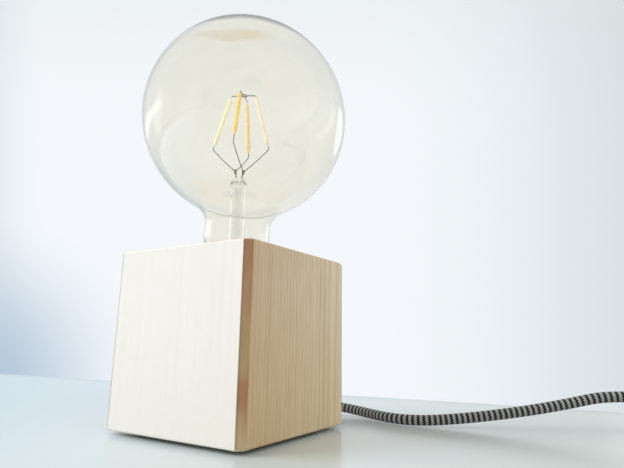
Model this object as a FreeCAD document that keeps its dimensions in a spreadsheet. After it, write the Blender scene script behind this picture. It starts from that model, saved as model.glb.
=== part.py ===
import FreeCAD, Part
import math
import os
import Sketcher

# Bare bulb table lamp: a square pine block with a screw socket sunk into its top, a globe lamp with four
# yellow light strips, and a braided cord with an in-line switch, a put-away coil and a flat mains plug.
# Millimetres. The origin is on the table under the socket's axis. +Z is up, +Y is the back face,
# where the cord leaves. The seen corner of the block is the one between its -Y and +X faces. The socket
# stands on the origin, a little off the middle of the block, and the glass leans a little on its cap.

Vector = FreeCAD.Vector
Rotation = FreeCAD.Rotation
doc = FreeCAD.newDocument("bare_bulb_lamp")
sheet = doc.addObject("Spreadsheet::Sheet", "size")

drivingSizes = [
    # wooden block and what closes it below
    ("blockSide", 95.0, "width and depth of the block"),
    ("blockX", 2.1, "middle of the block from the socket axis"),
    ("blockHeight", 96.0, "height of the block"),
    ("cornerChamfer", 3.2, "leg of the chamfer on the four upright edges"),
    ("edgeRound", 1.2, "sanded round of the top and bottom edges"),
    ("backRound", 6.0, "larger round of the top edge at the back"),
    ("boreRadius", 22.0, "socket bore in the top"),
    ("boreDepth", 55.0, "depth of the socket bore"),
    ("boreChamfer", 1.0, "chamfer at the mouth of the bore"),
    ("webThickness", 10.0, "wood left between socket bore and wiring chamber"),
    ("chamberRadius", 26.0, "wiring chamber in the underside"),
    ("plateSide", 72.0, "side of the square base plate"),
    ("plateThickness", 2.0, "thickness of the base plate"),
    ("plateCorner", 4.0, "corner radius of the base plate"),
    ("plateClearance", 0.3, "gap round the base plate in its recess"),
    ("feltSide", 71.0, "side of the felt pad"),
    ("feltThickness", 2.0, "thickness of the felt pad"),
    ("screwInset", 7.0, "plate screw axis in from the plate's edge"),
    ("screwRadius", 1.4, "shank of a plate screw"),
    ("screwHeadRadius", 2.8, "countersunk head of a plate screw"),
    ("screwHeadDepth", 1.4, "height of the countersunk head"),
    ("screwLength", 11.0, "plate screw over all"),
    # cord entry
    ("cordDiameter", 6.2, "braided cord"),
    ("cordHeight", 10.0, "cord exit above the table"),
    ("cordHoleRadius", 5.0, "hole for the bush in the back face"),
    ("bushInside", 17.0, "bush inside the wood"),
    ("bushOutside", 5.0, "bush proud of the back face"),
    ("bushFlange", 1.5, "thickness of the bush's flange, and its reach past the hole"),
    ("bushTip", 0.9, "free end of the bush past the cord"),
    ("coreRadius", 1.1, "one insulated conductor"),
    ("coreSpacing", 2.7, "between the two conductors"),
    ("coreSpread", 1.9, "conductor from the axis where it leaves the nipple"),
    ("coreGrip", 4.0, "hole for the conductor in its terminal"),
    ("jacketGap", 0.5, "end of the cord's jacket below the nipple"),
    ("jacketRise", 1.5, "straight end of the cord's jacket under the nipple"),
    ("tieRadius", 5.6, "cord tie"),
    ("tieWidth", 4.0, "cord tie along the cord"),
    ("tieInset", 0.8, "cord tie in from the chamber's wall"),
    # lamp socket
    ("rimDrop", 1.0, "socket rim below the top of the block"),
    ("holderRadius", 19.5, "outside of the socket"),
    ("holderWall", 2.2, "wall of the socket dome"),
    ("domeFloor", 4.0, "floor of the socket dome"),
    ("domeCorner", 3.0, "round of the dome's lower edge"),
    ("domeLap", 0.5, "dome's rim above the foot of the screw shell"),
    ("bossWall", 3.0, "boss in the dome round the nipple"),
    ("bossRise", 1.0, "boss above the nipple"),
    ("ledgeWidth", 1.8, "ledge in the dome under the contact carrier"),
    ("rimRound", 1.0, "round of the socket's rim"),
    ("grubRadius", 0.75, "grub screw"),
    ("grubLength", 2.5, "grub screw"),
    ("nippleRadius", 5.0, "threaded nipple"),
    ("nippleBore", 4.0, "cable way through the nipple"),
    ("nippleLow", 8.0, "nipple below the web"),
    ("nippleHigh", 5.0, "nipple above the web"),
    ("nutAcross", 14.0, "nut across flats"),
    ("nutThickness", 3.0, "nut"),
    ("washerRadius", 9.0, "washer"),
    ("washerThickness", 1.0, "washer"),
    ("tipDepth", 25.5, "lamp's end contact below the socket rim"),
    ("contactRise", 4.5, "lamp's end contact above the contact carrier"),
    ("carrierThickness", 8.0, "ceramic contact carrier"),
    ("terminalHeight", 6.0, "terminal block under the carrier"),
    ("terminalOffset", 6.5, "terminal block axis from the socket axis"),
    ("terminalSide", 6.0, "side of a terminal block"),
    ("clampRadius", 0.8, "terminal screw"),
    ("clampHead", 1.8, "radius and length of a terminal screw's head"),
    ("clampHeight", 2.2, "terminal screw above the foot of its block"),
    ("rivetRadius", 1.2, "contact rivet"),
    ("rivetHead", 1.9, "contact rivet's head"),
    ("rivetCrown", 0.7, "height of the rivet's head"),
    ("carrierGap", 0.3, "gap round the carrier, the socket body and the screw shell"),
    ("seatRing", 2.5, "height of the ring on the carrier under the screw shell"),
    ("seatWidth", 0.9, "width of that ring"),
    ("stripThickness", 0.6, "brass contact strip"),
    ("springGap", 0.3, "centre contact below the lamp's end contact"),
    ("tongueWidth", 6.0, "centre contact"),
    ("tongueFoot", 2.7, "foot of a contact strip past its rivet"),
    ("tongueSlope", 2.2, "run of the centre contact's rise"),
    ("tongueTip", 3.2, "centre contact past the socket axis"),
    ("flankWidth", 5.0, "side contact"),
    ("flankRise", 8.0, "height of the side contact"),
    ("flankRoom", 2.0, "room in the socket body for the side contact"),
    ("shellRadius", 13.8, "outside of the socket's screw shell"),
    ("shellWall", 0.5, "wall of the socket's screw shell"),
    ("lipThickness", 2.7, "plastic rim over the screw shell"),
    ("lipRadius", 13.9, "opening in the socket rim"),
    # screw thread shared by lamp and socket
    ("threadPitch", 3.629, "rise of the thread in a turn"),
    ("threadWidth", 2.1, "foot of the thread ridge"),
    ("capRidge", 0.95, "height of the lamp's ridge"),
    ("shellRidge", 0.75, "height of the socket's ridge"),
    ("threadStart", 8.0, "first ridge above the lamp's end contact"),
    ("threadLead", 1.5, "turns by which the socket's ridge starts lower"),
    ("capTurns", 3.5, "turns of the lamp's ridge"),
    ("shellTurns", 5.0, "turns of the socket's ridge"),
    # lamp
    ("globeRadius", 63.85, "outside of the glass globe"),
    ("glassWall", 1.0, "glass wall"),
    ("neckRadius", 20.0, "outside of the glass neck"),
    ("neckLength", 9.0, "straight neck between its shoulder and the hollow round"),
    ("neckBlend", 14.0, "hollow round between neck and globe"),
    ("neckFoot", 12.4, "glass inside the cap"),
    ("shoulderStart", 3.0, "straight glass in and over the cap"),
    ("shoulderRise", 9.0, "height of the shoulder from cap to neck"),
    ("glassLean", 1.87, "lean of the glass on its cap, in degrees"),
    ("leanHeading", 31.9, "direction of that lean"),
    ("capLength", 27.0, "cap with its end contact"),
    ("capRadius", 12.15, "root of the cap's thread"),
    ("capWall", 0.55, "cap wall"),
    ("skirtLength", 3.5, "plain skirt of the cap"),
    ("skirtRadius", 13.25, "outside of the plain skirt"),
    ("skirtFlare", 1.0, "height of the flare from thread to skirt"),
    ("capLip", 0.9, "lip of the cap under its insulator"),
    ("insulatorHeight", 6.4, "glass insulator of the cap"),
    ("insulatorSeat", 1.9, "insulator inside the cap"),
    ("insulatorHole", 0.8, "wire hole of the insulator, and its foot past the contact"),
    ("boardWidth", 15.0, "circuit board in the cap"),
    ("boardHeight", 11.0, "circuit board in the cap"),
    ("boardThickness", 1.0, "circuit board in the cap"),
    ("partSpread", 2.5, "parts from the middle of the board"),
    ("canRadius", 2.6, "capacitor on the board"),
    ("canHeight", 7.0, "capacitor on the board"),
    ("chipLength", 4.4, "rectifier on the board"),
    ("chipHeight", 3.6, "rectifier on the board"),
    ("chipThickness", 1.8, "rectifier on the board"),
    ("chokeRadius", 2.0, "choke on the board"),
    ("chokeLength", 4.0, "choke on the board"),
    ("tipRadius", 4.8, "end contact of the lamp"),
    ("tipThickness", 1.0, "end contact of the lamp"),
    ("footThickness", 1.0, "foot of the glass stem"),
    ("footLedge", 1.2, "foot of the glass stem past its flare"),
    ("stemRadius", 5.0, "outside of the stem tube"),
    ("stemHeight", 53.9, "stem over its foot"),
    ("stemFlare", 15.0, "height of the stem's flare"),
    ("stemCrown", 3.0, "round of the stem's top"),
    ("stemPress", 2.6, "solid top of the stem"),
    ("exhaustRadius", 1.9, "exhaust tube in the stem"),
    ("exhaustWall", 0.7, "wall of the exhaust tube"),
    ("exhaustDrop", 4.0, "exhaust tube below the stem foot"),
    ("stripRise", 16.1, "upper ends of the light strips over the globe's centre"),
    ("stripFall", 19.6, "lower ends of the light strips under the globe's centre"),
    ("stripTopRing", 7.8, "radius of the ring of upper ends"),
    ("stripLowRing", 18.3, "radius of the ring of lower ends"),
    ("firstLowRing", 15.5, "lower end of the first strip from the middle of that ring"),
    ("lightStripRadius", 1.0, "radius of a light strip"),
    ("stripEnd", 2.2, "bare metal end of a light strip"),
    ("stripTurn", -66.3, "direction of the first light strip"),
    ("cageLean", 4.8, "lean of the light strips over the stem, in degrees"),
    ("cageHeading", -41.6, "direction of that lean"),
    ("wireRadius", 0.35, "support wires"),
    ("hubRadius", 1.7, "ring that joins the upper wires"),
    ("hubWire", 0.45, "wire of that ring"),
    ("knotRise", 4.5, "welded knots over the stem"),
    ("knotSpread", 2.5, "welded knots from the lamp axis"),
    ("knotRadius", 0.9, "sleeve of a welded knot"),
    ("knotHeight", 2.4, "sleeve of a welded knot"),
    ("postSpread", 1.5, "wires on the stem's top from the lamp axis"),
    # in-line switch
    ("switchLength", 60.0, "switch body"),
    ("switchWidth", 24.0, "switch body"),
    ("switchHalf", 7.5, "height of each half of the switch"),
    ("switchWall", 1.8, "wall of the switch"),
    ("switchCorner", 7.0, "corner radius of the switch"),
    ("switchRound", 2.2, "round of the switch's upper and lower edges"),
    ("postX", 20.0, "screw post along the switch"),
    ("postY", 7.0, "screw post across the switch"),
    ("postRadius", 2.8, "screw post"),
    ("caseScrew", 1.2, "shank of a switch screw"),
    ("caseHead", 2.5, "head of a switch screw"),
    ("caseSink", 1.3, "height of that head"),
    ("earLength", 6.0, "bearing ear of the rocker"),
    ("earWall", 2.0, "bearing ear of the rocker"),
    ("rockerLength", 20.4, "rocker"),
    ("rockerWidth", 9.4, "rocker"),
    ("rockerGap", 0.3, "gap between rocker and cover"),
    ("rockerTilt", 12.0, "tilt of the rocker each way"),
    ("rockerFoot", 7.0, "half of the rocker's flat underside"),
    ("rockerDepth", 3.0, "rocker below its axis"),
    ("rockerEdge", 0.6, "foot of the rocker's end faces over its axis"),
    ("rockerRise", 3.6, "top of the rocker's end faces over its axis"),
    ("dishHeight", 55.0, "middle of the rocker's dished top over its axis"),
    ("bridgeLength", 18.0, "contact strip under the rocker"),
    ("bridgeWidth", 3.4, "contact strip under the rocker"),
    ("contactSide", 3.0, "side of a fixed contact"),
    ("contactHigh", 1.0, "middle contact above the parting plane"),
    ("contactLow", 0.5, "side contact below the parting plane"),
    ("jacketEnd", 3.0, "cord ends inside the switch"),
    ("leadRadius", 0.9, "wire inside the switch"),
    ("leadSpread", 1.5, "wires inside the switch from its middle line"),
    ("pivotHeight", 5.2, "rocker axis over the parting plane"),
    ("axleRadius", 1.2, "rocker axle"),
    ("axleClearance", 0.05, "running clearance of the axle"),
    ("reliefLength", 20.0, "tapered relief at the switch and the plug"),
    ("reliefWall", 1.4, "wall of a relief at its root"),
    ("reliefTip", 0.4, "wall of a relief at its free end"),
    ("collarLength", 1.5, "collar of a relief inside the housing"),
    ("collarRise", 1.2, "collar of a relief past its root"),
    ("collarStep", 3.0, "thick root of a relief outside the housing"),
    ("switchHeading", 15.0, "direction of the switch on the table"),
    # plug
    ("plugLength", 36.0, "plug body"),
    ("plugWidth", 35.3, "plug body"),
    ("plugThickness", 13.7, "plug body"),
    ("plugX", 279.0, "start of the plug's relief"),
    ("plugY", 36.0, "start of the plug's relief"),
    ("plugNeck", 6.4, "half width of the plug at the cord"),
    ("plugWaist", 8.2, "half width of the plug where it begins to widen"),
    ("plugWaistAt", 9.0, "that place along the plug"),
    ("plugFullAt", 21.0, "where the plug has its full width"),
    ("plugRound", 2.5, "round of the plug's edges"),
    ("plugBore", 8.0, "cord inside the plug"),
    ("pinSpacing", 18.6, "between the plug pins"),
    ("pinRadius", 2.0, "bare end of a plug pin"),
    ("pinLength", 19.0, "plug pin past the body"),
    ("pinBare", 10.0, "bare part of a plug pin"),
    ("pinHidden", 10.0, "plug pin inside the body"),
    ("pinCore", 1.4, "plug pin under its sleeve"),
    ("pinNose", 1.2, "taper of a plug pin's end"),
    ("sleeveRadius", 1.7, "insulating sleeve on a plug pin"),
    ("plugHeading", -95.0, "direction of the plug on the table"),
    # put-away coil
    ("coilX", 243.0, "coil centre"),
    ("coilY", 138.5, "coil centre"),
    ("coilInner", 25.0, "smallest turn, to the middle of the cord"),
    ("coilStep", 6.9, "growth of the coil in a turn"),
    ("layerStep", 6.8, "between the two layers"),
    ("coilStart", -100.0, "direction in which the coil begins"),
    ("coilAngle", 2060.0, "whole turning of the coil"),
    ("seatGap", 0.2, "gap between parts that rest on each other's curved faces"),
    ("fitGap", 0.1, "gap between parts that slide into each other"),
    ("pressGap", 0.05, "gap between parts pressed into each other"),
]
for row, (alias, value, meaning) in enumerate(drivingSizes, start=1):
    sheet.set(f"A{row}", meaning)
    sheet.set(f"B{row}", str(value))
    sheet.setAlias(f"B{row}", alias)
doc.recompute()

# Levels and places that follow from the driving sizes, as expressions on the sheet.
blockBottom = "size.feltThickness"
blockTop = f"({blockBottom} + size.blockHeight)"
boreFloor = f"({blockTop} - size.boreDepth)"
webBottom = f"({boreFloor} - size.webThickness)"
holderTop = f"({blockTop} - size.rimDrop)"
tipLevel = f"({holderTop} - size.tipDepth)"
carrierTop = f"({tipLevel} - size.contactRise)"
carrierBottom = f"({carrierTop} - size.carrierThickness)"
terminalBottom = f"({carrierBottom} - size.terminalHeight)"
shellBottom = f"({carrierTop} + size.seatRing)"
capRim = f"({tipLevel} + size.capLength)"
capStep = f"({capRim} - size.skirtLength)"
leanLift = "(size.neckFoot * sin(size.glassLean * 1 deg))"
glassBottom = f"({capStep} + size.footThickness + {leanLift})"
neckTop = f"({glassBottom} + size.shoulderStart + size.shoulderRise + size.neckLength)"
blendRadius = "(size.neckRadius + size.neckBlend)"
blendReach = "(size.globeRadius + size.neckBlend)"
blendDrop = f"sqrt({blendReach} * {blendReach} - {blendRadius} * {blendRadius})"
globeCentre = f"({neckTop} + {blendDrop})"
stemTop = f"({capStep} + size.stemHeight)"
cordRadius = "(size.cordDiameter / 2)"
wallFace = "(size.blockSide / 2)"
coilTop = f"({cordRadius} * 2 + size.layerStep)"
switchLevel = f"({coilTop} + size.seatGap + size.switchHalf)"
domeInner = "(size.holderRadius - size.holderWall)"
rivetHole = "(size.rivetRadius + size.fitGap)"

pieces = []


def num(expression):
    """Value of an expression on the size sheet."""
    return float(sheet.evalExpression(expression))


def place(thing, x="0", y="0", z="0", heading=None):
    """Bind a thing's place, and its turn about Z, to expressions."""
    if heading:
        thing.Placement = FreeCAD.Placement(Vector(), Rotation(Vector(0, 0, 1), num(heading)))
        thing.setExpression("Placement.Rotation.Angle", heading)
    for axis, expression in (("x", x), ("y", y), ("z", z)):
        thing.setExpression(f"Placement.Base.{axis}", expression)
    return thing


def keep(thing, label):
    """Name a finished sub-part and list it for the export."""
    thing.Label = label
    pieces.append(thing)
    return thing


# ---- sketches: an outline is its first corner, then straight or round steps to the next corners


def bindPoint(sketch, geometry, position, u, v, both=True, alongU=True):
    """Hold a sketch point at (u, v), or by one coordinate only where an arc already holds the other."""
    for kind, expression, used in (("DistanceX", u, both or alongU), ("DistanceY", v, both or not alongU)):
        if used:
            rule = Sketcher.Constraint(kind, -1, 1, geometry, position, num(expression))
            index = sketch.addConstraint(rule)
            sketch.setExpression(f"Constraints[{index}]", expression)


def drawOutline(sketch, start, steps):
    """Draw a closed outline. A step is (u, v), or (u, v, centreU, centreV, turn) with turn left or right."""
    corners = [start] + [step[:2] for step in steps]
    spots = [Vector(num(u), num(v), 0) for u, v in corners]
    ends = []
    for index, step in enumerate(steps):
        begin, finish = spots[index], spots[index + 1]
        if len(step) == 2:
            number = sketch.addGeometry(Part.LineSegment(begin, finish), False)
            ends.append((number, 1, 2))
            continue
        middle = Vector(num(step[2]), num(step[3]), 0)
        circle = Part.Circle(middle, Vector(0, 0, 1), (begin - middle).Length)
        angles = [math.atan2(spot.y - middle.y, spot.x - middle.x) for spot in (begin, finish)]
        if step[4] == "right":
            angles.reverse()
        if angles[1] < angles[0]:
            angles[1] += 2 * math.pi
        number = sketch.addGeometry(Part.ArcOfCircle(circle, *angles), False)
        ends.append((number, 1, 2) if step[4] == "left" else (number, 2, 1))
        bindPoint(sketch, number, 3, step[2], step[3])
    for index, (number, head, tail) in enumerate(ends):
        following = ends[(index + 1) % len(ends)]
        sketch.addConstraint(Sketcher.Constraint("Coincident", number, tail, following[0], following[1]))
        arrived = steps[index - 1]
        if len(arrived) == 2:
            bindPoint(sketch, number, head, *corners[index])
        else:
            middle = Vector(num(arrived[2]), num(arrived[3]), 0)
            reach = spots[index] - middle
            bindPoint(sketch, number, head, *corners[index], both=False, alongU=abs(reach.y) > abs(reach.x))
    return sketch


def newSketch(body, name, role, offset=None):
    """A sketch on one of the body's own origin planes, moved along its normal by an expression."""
    sketch = body.newObject("Sketcher::SketchObject", name)
    plane = next(feature for feature in body.Origin.OriginFeatures if feature.Role == role)
    sketch.AttachmentSupport = (plane, "")
    sketch.MapMode = "FlatFace"
    if offset:
        sketch.setExpression(".AttachmentOffset.Base.z", offset)
    return sketch


def newBody(name):
    return doc.addObject("PartDesign::Body", name)


def turned(name, start, steps):
    """A body turned about Z. Its outline is given as (radius, height)."""
    body = newBody(name)
    sketch = drawOutline(newSketch(body, name + "_outline", "XZ_Plane"), start, steps)
    spin = body.newObject("PartDesign::Revolution", name + "_turn")
    spin.Profile = sketch
    spin.ReferenceAxis = (sketch, ["V_Axis"])
    spin.Angle = 360
    return body


def extruded(name, start, steps, height, role="XY_Plane", middle=False, reverse=False):
    """A body pushed out from an outline by a height."""
    body = newBody(name)
    sketch = drawOutline(newSketch(body, name + "_outline", role), start, steps)
    push = body.newObject("PartDesign::Pad", name + "_push")
    push.Profile = sketch
    push.setExpression("Length", height)
    push.Midplane = middle
    push.Reversed = reverse
    return body


def roundedOutline(halfLength, halfWidth, corner):
    """Start and steps of a rectangle with round corners about the origin."""
    inU = f"({halfLength} - {corner})"
    inV = f"({halfWidth} - {corner})"
    start = (f"-{inU}", f"-{halfWidth}")
    steps = [
        (inU, f"-{halfWidth}"),
        (halfLength, f"-{inV}", inU, f"-{inV}", "left"),
        (halfLength, inV),
        (inU, halfWidth, inU, inV, "left"),
        (f"-{inU}", halfWidth),
        (f"-{halfLength}", inV, f"-{inU}", inV, "left"),
        (f"-{halfLength}", f"-{inV}"),
        (f"-{inU}", f"-{halfWidth}", f"-{inU}", f"-{inV}", "left"),
    ]
    return start, steps


def edgesWhere(shape, test):
    """Names of the edges whose two ends and middle all pass a test."""
    names = []
    for index, edge in enumerate(shape.Edges, start=1):
        spots = [vertex.Point for vertex in edge.Vertexes] + [edge.valueAt(sum(edge.ParameterRange) / 2)]
        if all(test(spot) for spot in spots):
            names.append(f"Edge{index}")
    return names


def eased(body, kind, name, sizeProperty, amount, test):
    """Chamfer or fillet the body's edges that pass a test."""
    doc.recompute()
    base = body.Tip
    feature = body.newObject(kind, name)
    feature.Base = (base, edgesWhere(base.Shape, test))
    feature.setExpression(sizeProperty, amount)
    return feature


# ---- plain solids and how they are joined


def primitive(kind, name, sizes, x="0", y="0", z="0", axis=None):
    """A box, cylinder, cone or torus whose sizes and place are expressions. axis turns its Z to X or Y."""
    thing = doc.addObject(kind, name)
    if axis == "x":
        thing.Placement = FreeCAD.Placement(Vector(), Rotation(Vector(0, 1, 0), 90))
    elif axis == "y":
        thing.Placement = FreeCAD.Placement(Vector(), Rotation(Vector(1, 0, 0), -90))
    for key, expression in sizes.items():
        thing.setExpression(key, expression)
    return place(thing, x, y, z)


def box(name, length, width, height, x, y, z):
    """A box from its low corner."""
    return primitive("Part::Box", name, {"Length": length, "Width": width, "Height": height}, x, y, z)


def rod(name, radius, height, x="0", y="0", z="0", axis=None):
    return primitive("Part::Cylinder", name, {"Radius": radius, "Height": height}, x, y, z, axis)


def taper(name, first, second, height, x="0", y="0", z="0", axis=None):
    sizes = {"Radius1": first, "Radius2": second, "Height": height}
    return primitive("Part::Cone", name, sizes, x, y, z, axis)


def joined(name, *things):
    union = doc.addObject("Part::MultiFuse", name)
    union.Shapes = list(things)
    return union


def less(name, base, *tools):
    """The base with the tools cut away."""
    result = doc.addObject("Part::Cut", name)
    result.Base = base
    result.Tool = tools[0] if len(tools) == 1 else joined(name + "_tools", *tools)
    return result


def shared(name, first, second):
    result = doc.addObject("Part::Common", name)
    result.Base = first
    result.Tool = second
    return result


def gathered(name, things):
    """Several separate solids in one sub-part."""
    group = doc.addObject("Part::Compound", name)
    group.Links = things
    return group


# ---- wires and cords: straight runs joined by tangent arcs


def cornerArc(before, corner, after, radius=None):
    """The arc that rounds a corner: its start, middle and end, and its radius."""
    back = (before - corner).normalize()
    ahead = (after - corner).normalize()
    half = (math.pi - back.getAngle(ahead)) / 2
    trim = 0.45 * min((before - corner).Length, (after - corner).Length)
    if radius is None:
        radius = trim / math.tan(half)
    trim = radius * math.tan(half)
    inward = (back + ahead).normalize()
    middle = corner + inward * (radius / math.cos(half) - radius)
    return corner + back * trim, middle, corner + ahead * trim, radius


def tubeAlong(wire, start, direction, radius):
    """A round solid along a wire, and how far its volume is from section times length."""
    section = Part.Wire([Part.makeCircle(radius, start, direction)])
    solid = wire.makePipeShell([section], True, False)
    plain = math.pi * radius**2 * wire.Length
    return solid, solid.Volume / plain - 1


def roundedTube(label, points, radius, bends=None):
    """A cord or a wire through hand-chosen points. bends gives fixed radii where the real bend is set."""
    points = [Vector(*point) for point in points]
    edges = []
    radii = []
    here = points[0]
    for index in range(1, len(points) - 1):
        fixed = bends[index - 1] if bends else None
        first, middle, last, size = cornerArc(points[index - 1], points[index], points[index + 1], fixed)
        edges.append(Part.LineSegment(here, first).toShape())
        edges.append(Part.Arc(first, middle, last).toShape())
        radii.append(size)
        here = last
    edges.append(Part.LineSegment(here, points[-1]).toShape())
    wire = Part.Wire(edges)
    solid, off = tubeAlong(wire, points[0], points[1] - points[0], radius)
    print(f"{label}: length {wire.Length:.1f}, volume off by {off:.1e}, radii {[round(r, 1) for r in radii]}")
    return solid, wire.Length


def feature(name, shape, label):
    """A sub-part whose shape is worked out here."""
    thing = doc.addObject("Part::Feature", name)
    thing.Shape = shape
    thing.Placement = FreeCAD.Placement(Vector(), Rotation())
    return keep(thing, label)


def roundAbout(centre, reach, heading, height):
    """The point at a reach and a heading in degrees from a centre."""
    angle = math.radians(heading)
    return Vector(centre[0] + reach * math.cos(angle), centre[1] + reach * math.sin(angle), height)


# ---- the block and what closes it


def makeBlock():
    body = extruded(
        "block",
        *squareOutline(wallFace),
        "size.blockHeight",
    )
    side = num(wallFace)
    height = num("size.blockHeight")
    near = 0.01
    eased(
        body,
        "PartDesign::Chamfer",
        "block_corners",
        "Size",
        "size.cornerChamfer",
        lambda p: abs(abs(p.x) - side) < near and abs(abs(p.y) - side) < near,
    )
    eased(
        body,
        "PartDesign::Fillet",
        "block_back",
        "Radius",
        "size.backRound",
        lambda p: p.z > height - near and p.y > side - near,
    )
    eased(
        body,
        "PartDesign::Fillet",
        "block_edges",
        "Radius",
        "size.edgeRound",
        lambda p: p.z < near or (p.z > height - near and p.y < side - num("size.cornerChamfer")),
    )
    recess = newSketch(body, "block_recess", "XY_Plane")
    half = "(size.plateSide / 2 + size.plateClearance)"
    drawOutline(recess, *roundedOutline(half, half, "(size.plateCorner + size.plateClearance)"))
    pocket = body.newObject("PartDesign::Pocket", "block_plate_recess")
    pocket.Profile = recess
    pocket.setExpression("Length", "size.plateThickness")
    pocket.Reversed = True
    place(body, "size.blockX", z=blockBottom)
    tools = [makeBores()]
    tools.append(rod("cord_way", "size.cordHoleRadius", "size.blockSide / 2", z="size.cordHeight", axis="y"))
    for number, (x, y) in enumerate(screwSpots()):
        depth = "size.screwLength - size.plateThickness + size.feltThickness"
        tools.append(rod(f"pilot_{number}", "size.screwRadius", depth, x, y, blockBottom))
    keep(less("wood_block", body, *tools), "wood_block")


def makeBores():
    """What is turned out of the block: wiring chamber, nipple hole and socket bore."""
    floor = "(size.blockHeight - size.boreDepth)"
    ceiling = f"({floor} - size.webThickness)"
    hole = "(size.nippleRadius + size.plateClearance)"
    mouth = "(size.blockHeight - size.boreChamfer)"
    bores = turned(
        "bores",
        ("0", "0"),
        [
            ("size.chamberRadius", "0"),
            ("size.chamberRadius", ceiling),
            (hole, ceiling),
            (hole, floor),
            ("size.boreRadius", floor),
            ("size.boreRadius", mouth),
            ("size.boreRadius + size.boreChamfer", "size.blockHeight"),
            ("0", "size.blockHeight"),
            ("0", "0"),
        ],
    )
    return place(bores, z=blockBottom)


def squareOutline(half):
    """Start and steps of a square about the origin."""
    return (f"-{half}", f"-{half}"), [
        (half, f"-{half}"),
        (half, half),
        (f"-{half}", half),
        (f"-{half}", f"-{half}"),
    ]


def screwSpots():
    """The four places of the plate screws."""
    reach = "(size.plateSide / 2 - size.screwInset)"
    return [(f"(size.blockX {u} {reach})", f"{v}{reach}") for u in "+-" for v in ("", "-")]


def makeBase():
    half = "(size.plateSide / 2)"
    plate = extruded("plate", *roundedOutline(half, half, "size.plateCorner"), "size.plateThickness")
    place(plate, "size.blockX", z=blockBottom)
    tools = []
    screws = []
    wide = "(size.screwHeadRadius + size.plateClearance)"
    for number, (x, y) in enumerate(screwSpots()):
        loose = "(size.screwRadius + size.plateClearance)"
        tools.append(rod(f"plate_hole_{number}", loose, "size.plateThickness", x, y, blockBottom))
        sink = taper(f"plate_sink_{number}", wide, loose, "size.screwHeadDepth", x, y, blockBottom)
        tools.append(sink)
        head = taper(
            f"screw_head_{number}",
            "size.screwHeadRadius",
            "size.screwRadius - size.axleClearance",
            "size.screwHeadDepth",
            x,
            y,
            blockBottom,
        )
        shank = rod(
            f"screw_shank_{number}",
            "size.screwRadius - size.axleClearance",
            "size.screwLength - size.screwRadius - size.screwHeadDepth",
            x,
            y,
            f"{blockBottom} + size.screwHeadDepth",
        )
        point = taper(
            f"screw_point_{number}",
            "size.screwRadius - size.axleClearance",
            "0.1",
            "size.screwRadius",
            x,
            y,
            f"{blockBottom} + size.screwLength - size.screwRadius",
        )
        slot = box(
            f"screw_slot_{number}",
            "size.screwHeadRadius * 1.4",
            "size.stripThickness",
            "size.stripThickness",
            f"{x} - size.screwHeadRadius * 0.7",
            f"{y} - size.stripThickness / 2",
            blockBottom,
        )
        screws.append(less(f"screw_{number}", joined(f"screw_body_{number}", head, shank, point), slot))
    keep(less("base_plate", plate, *tools), "base_plate")
    keep(gathered("base_screws", screws), "base_screws")
    pad = "(size.feltSide / 2)"
    felt = extruded("felt", *roundedOutline(pad, pad, "size.plateCorner"), "size.feltThickness")
    keep(place(felt, "size.blockX"), "felt_pad")


# ---- cord entry and the wiring in the chamber


def makeEntry():
    bore = f"({cordRadius} + size.seatGap)"
    snug = "(size.cordHoleRadius - size.fitGap)"
    flange = "(size.cordHoleRadius + size.bushFlange)"
    thin = f"({cordRadius} + size.bushTip)"
    reach = "(size.bushInside + size.bushOutside)"
    bush = turned(
        "bush",
        (bore, "0"),
        [
            (snug, "0"),
            (snug, "size.bushInside"),
            (flange, "size.bushInside"),
            (flange, "size.bushInside + size.bushFlange"),
            ("size.cordHoleRadius", "size.bushInside + size.bushFlange"),
            (thin, reach),
            (bore, reach),
            (bore, "0"),
        ],
    )
    bush.Placement = FreeCAD.Placement(Vector(), Rotation(Vector(1, 0, 0), -90))
    place(bush, y=f"{wallFace} - size.bushInside", z="size.cordHeight")
    keep(bush, "exit_bush")

    thick = "size.tieWidth"
    back = "(size.chamberRadius - size.tieInset)"
    start = f"{back} - {thick}"
    ring = rod("tie_ring", "size.tieRadius", thick, y=start, z="size.cordHeight", axis="y")
    headLow = "size.cordHeight + size.tieRadius / 2"
    head = box("tie_head", "size.tieRadius", thick, "size.tieRadius", "-size.tieRadius / 2", start, headLow)
    way = rod("tie_way", f"{cordRadius} + size.fitGap", thick, y=start, z="size.cordHeight", axis="y")
    keep(less("cord_tie", joined("tie_body", ring, head), way), "cord_tie")
    makeInnerCord()


def makeInnerCord():
    """The cord from the back face to the nipple, and its two conductors up to the terminals."""
    level = num("size.cordHeight")
    top = num(f"{webBottom} - size.nippleLow - size.jacketGap")
    start = num(f"{wallFace} + size.bushOutside")
    bend = top - num("size.jacketRise") - level
    route = [(0, start, level), (0, 0, level), (0, 0, top)]
    solid, length = roundedTube("cord_inner", route, num(cordRadius), [bend])
    feature("cord_inner", solid, "cord_inner")
    low = num(f"{boreFloor} + size.nippleHigh")
    high = num(terminalBottom)
    for label, side in (("core_live", 1), ("core_neutral", -1)):
        near = side * num("size.coreSpacing / 2")
        wide = side * num("size.coreSpread")
        far = side * num("size.terminalOffset")
        points = [
            (near, 0, top),
            (near, 0, low - 9),
            (wide, 0, low + 0.5),
            (far, 0, high - 1.2),
            (far, 0, high + num("size.coreGrip") - 0.5),
        ]
        solid, length = roundedTube(label, points, num("size.coreRadius"))
        feature(label, solid, label)


# ---- lamp socket


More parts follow.
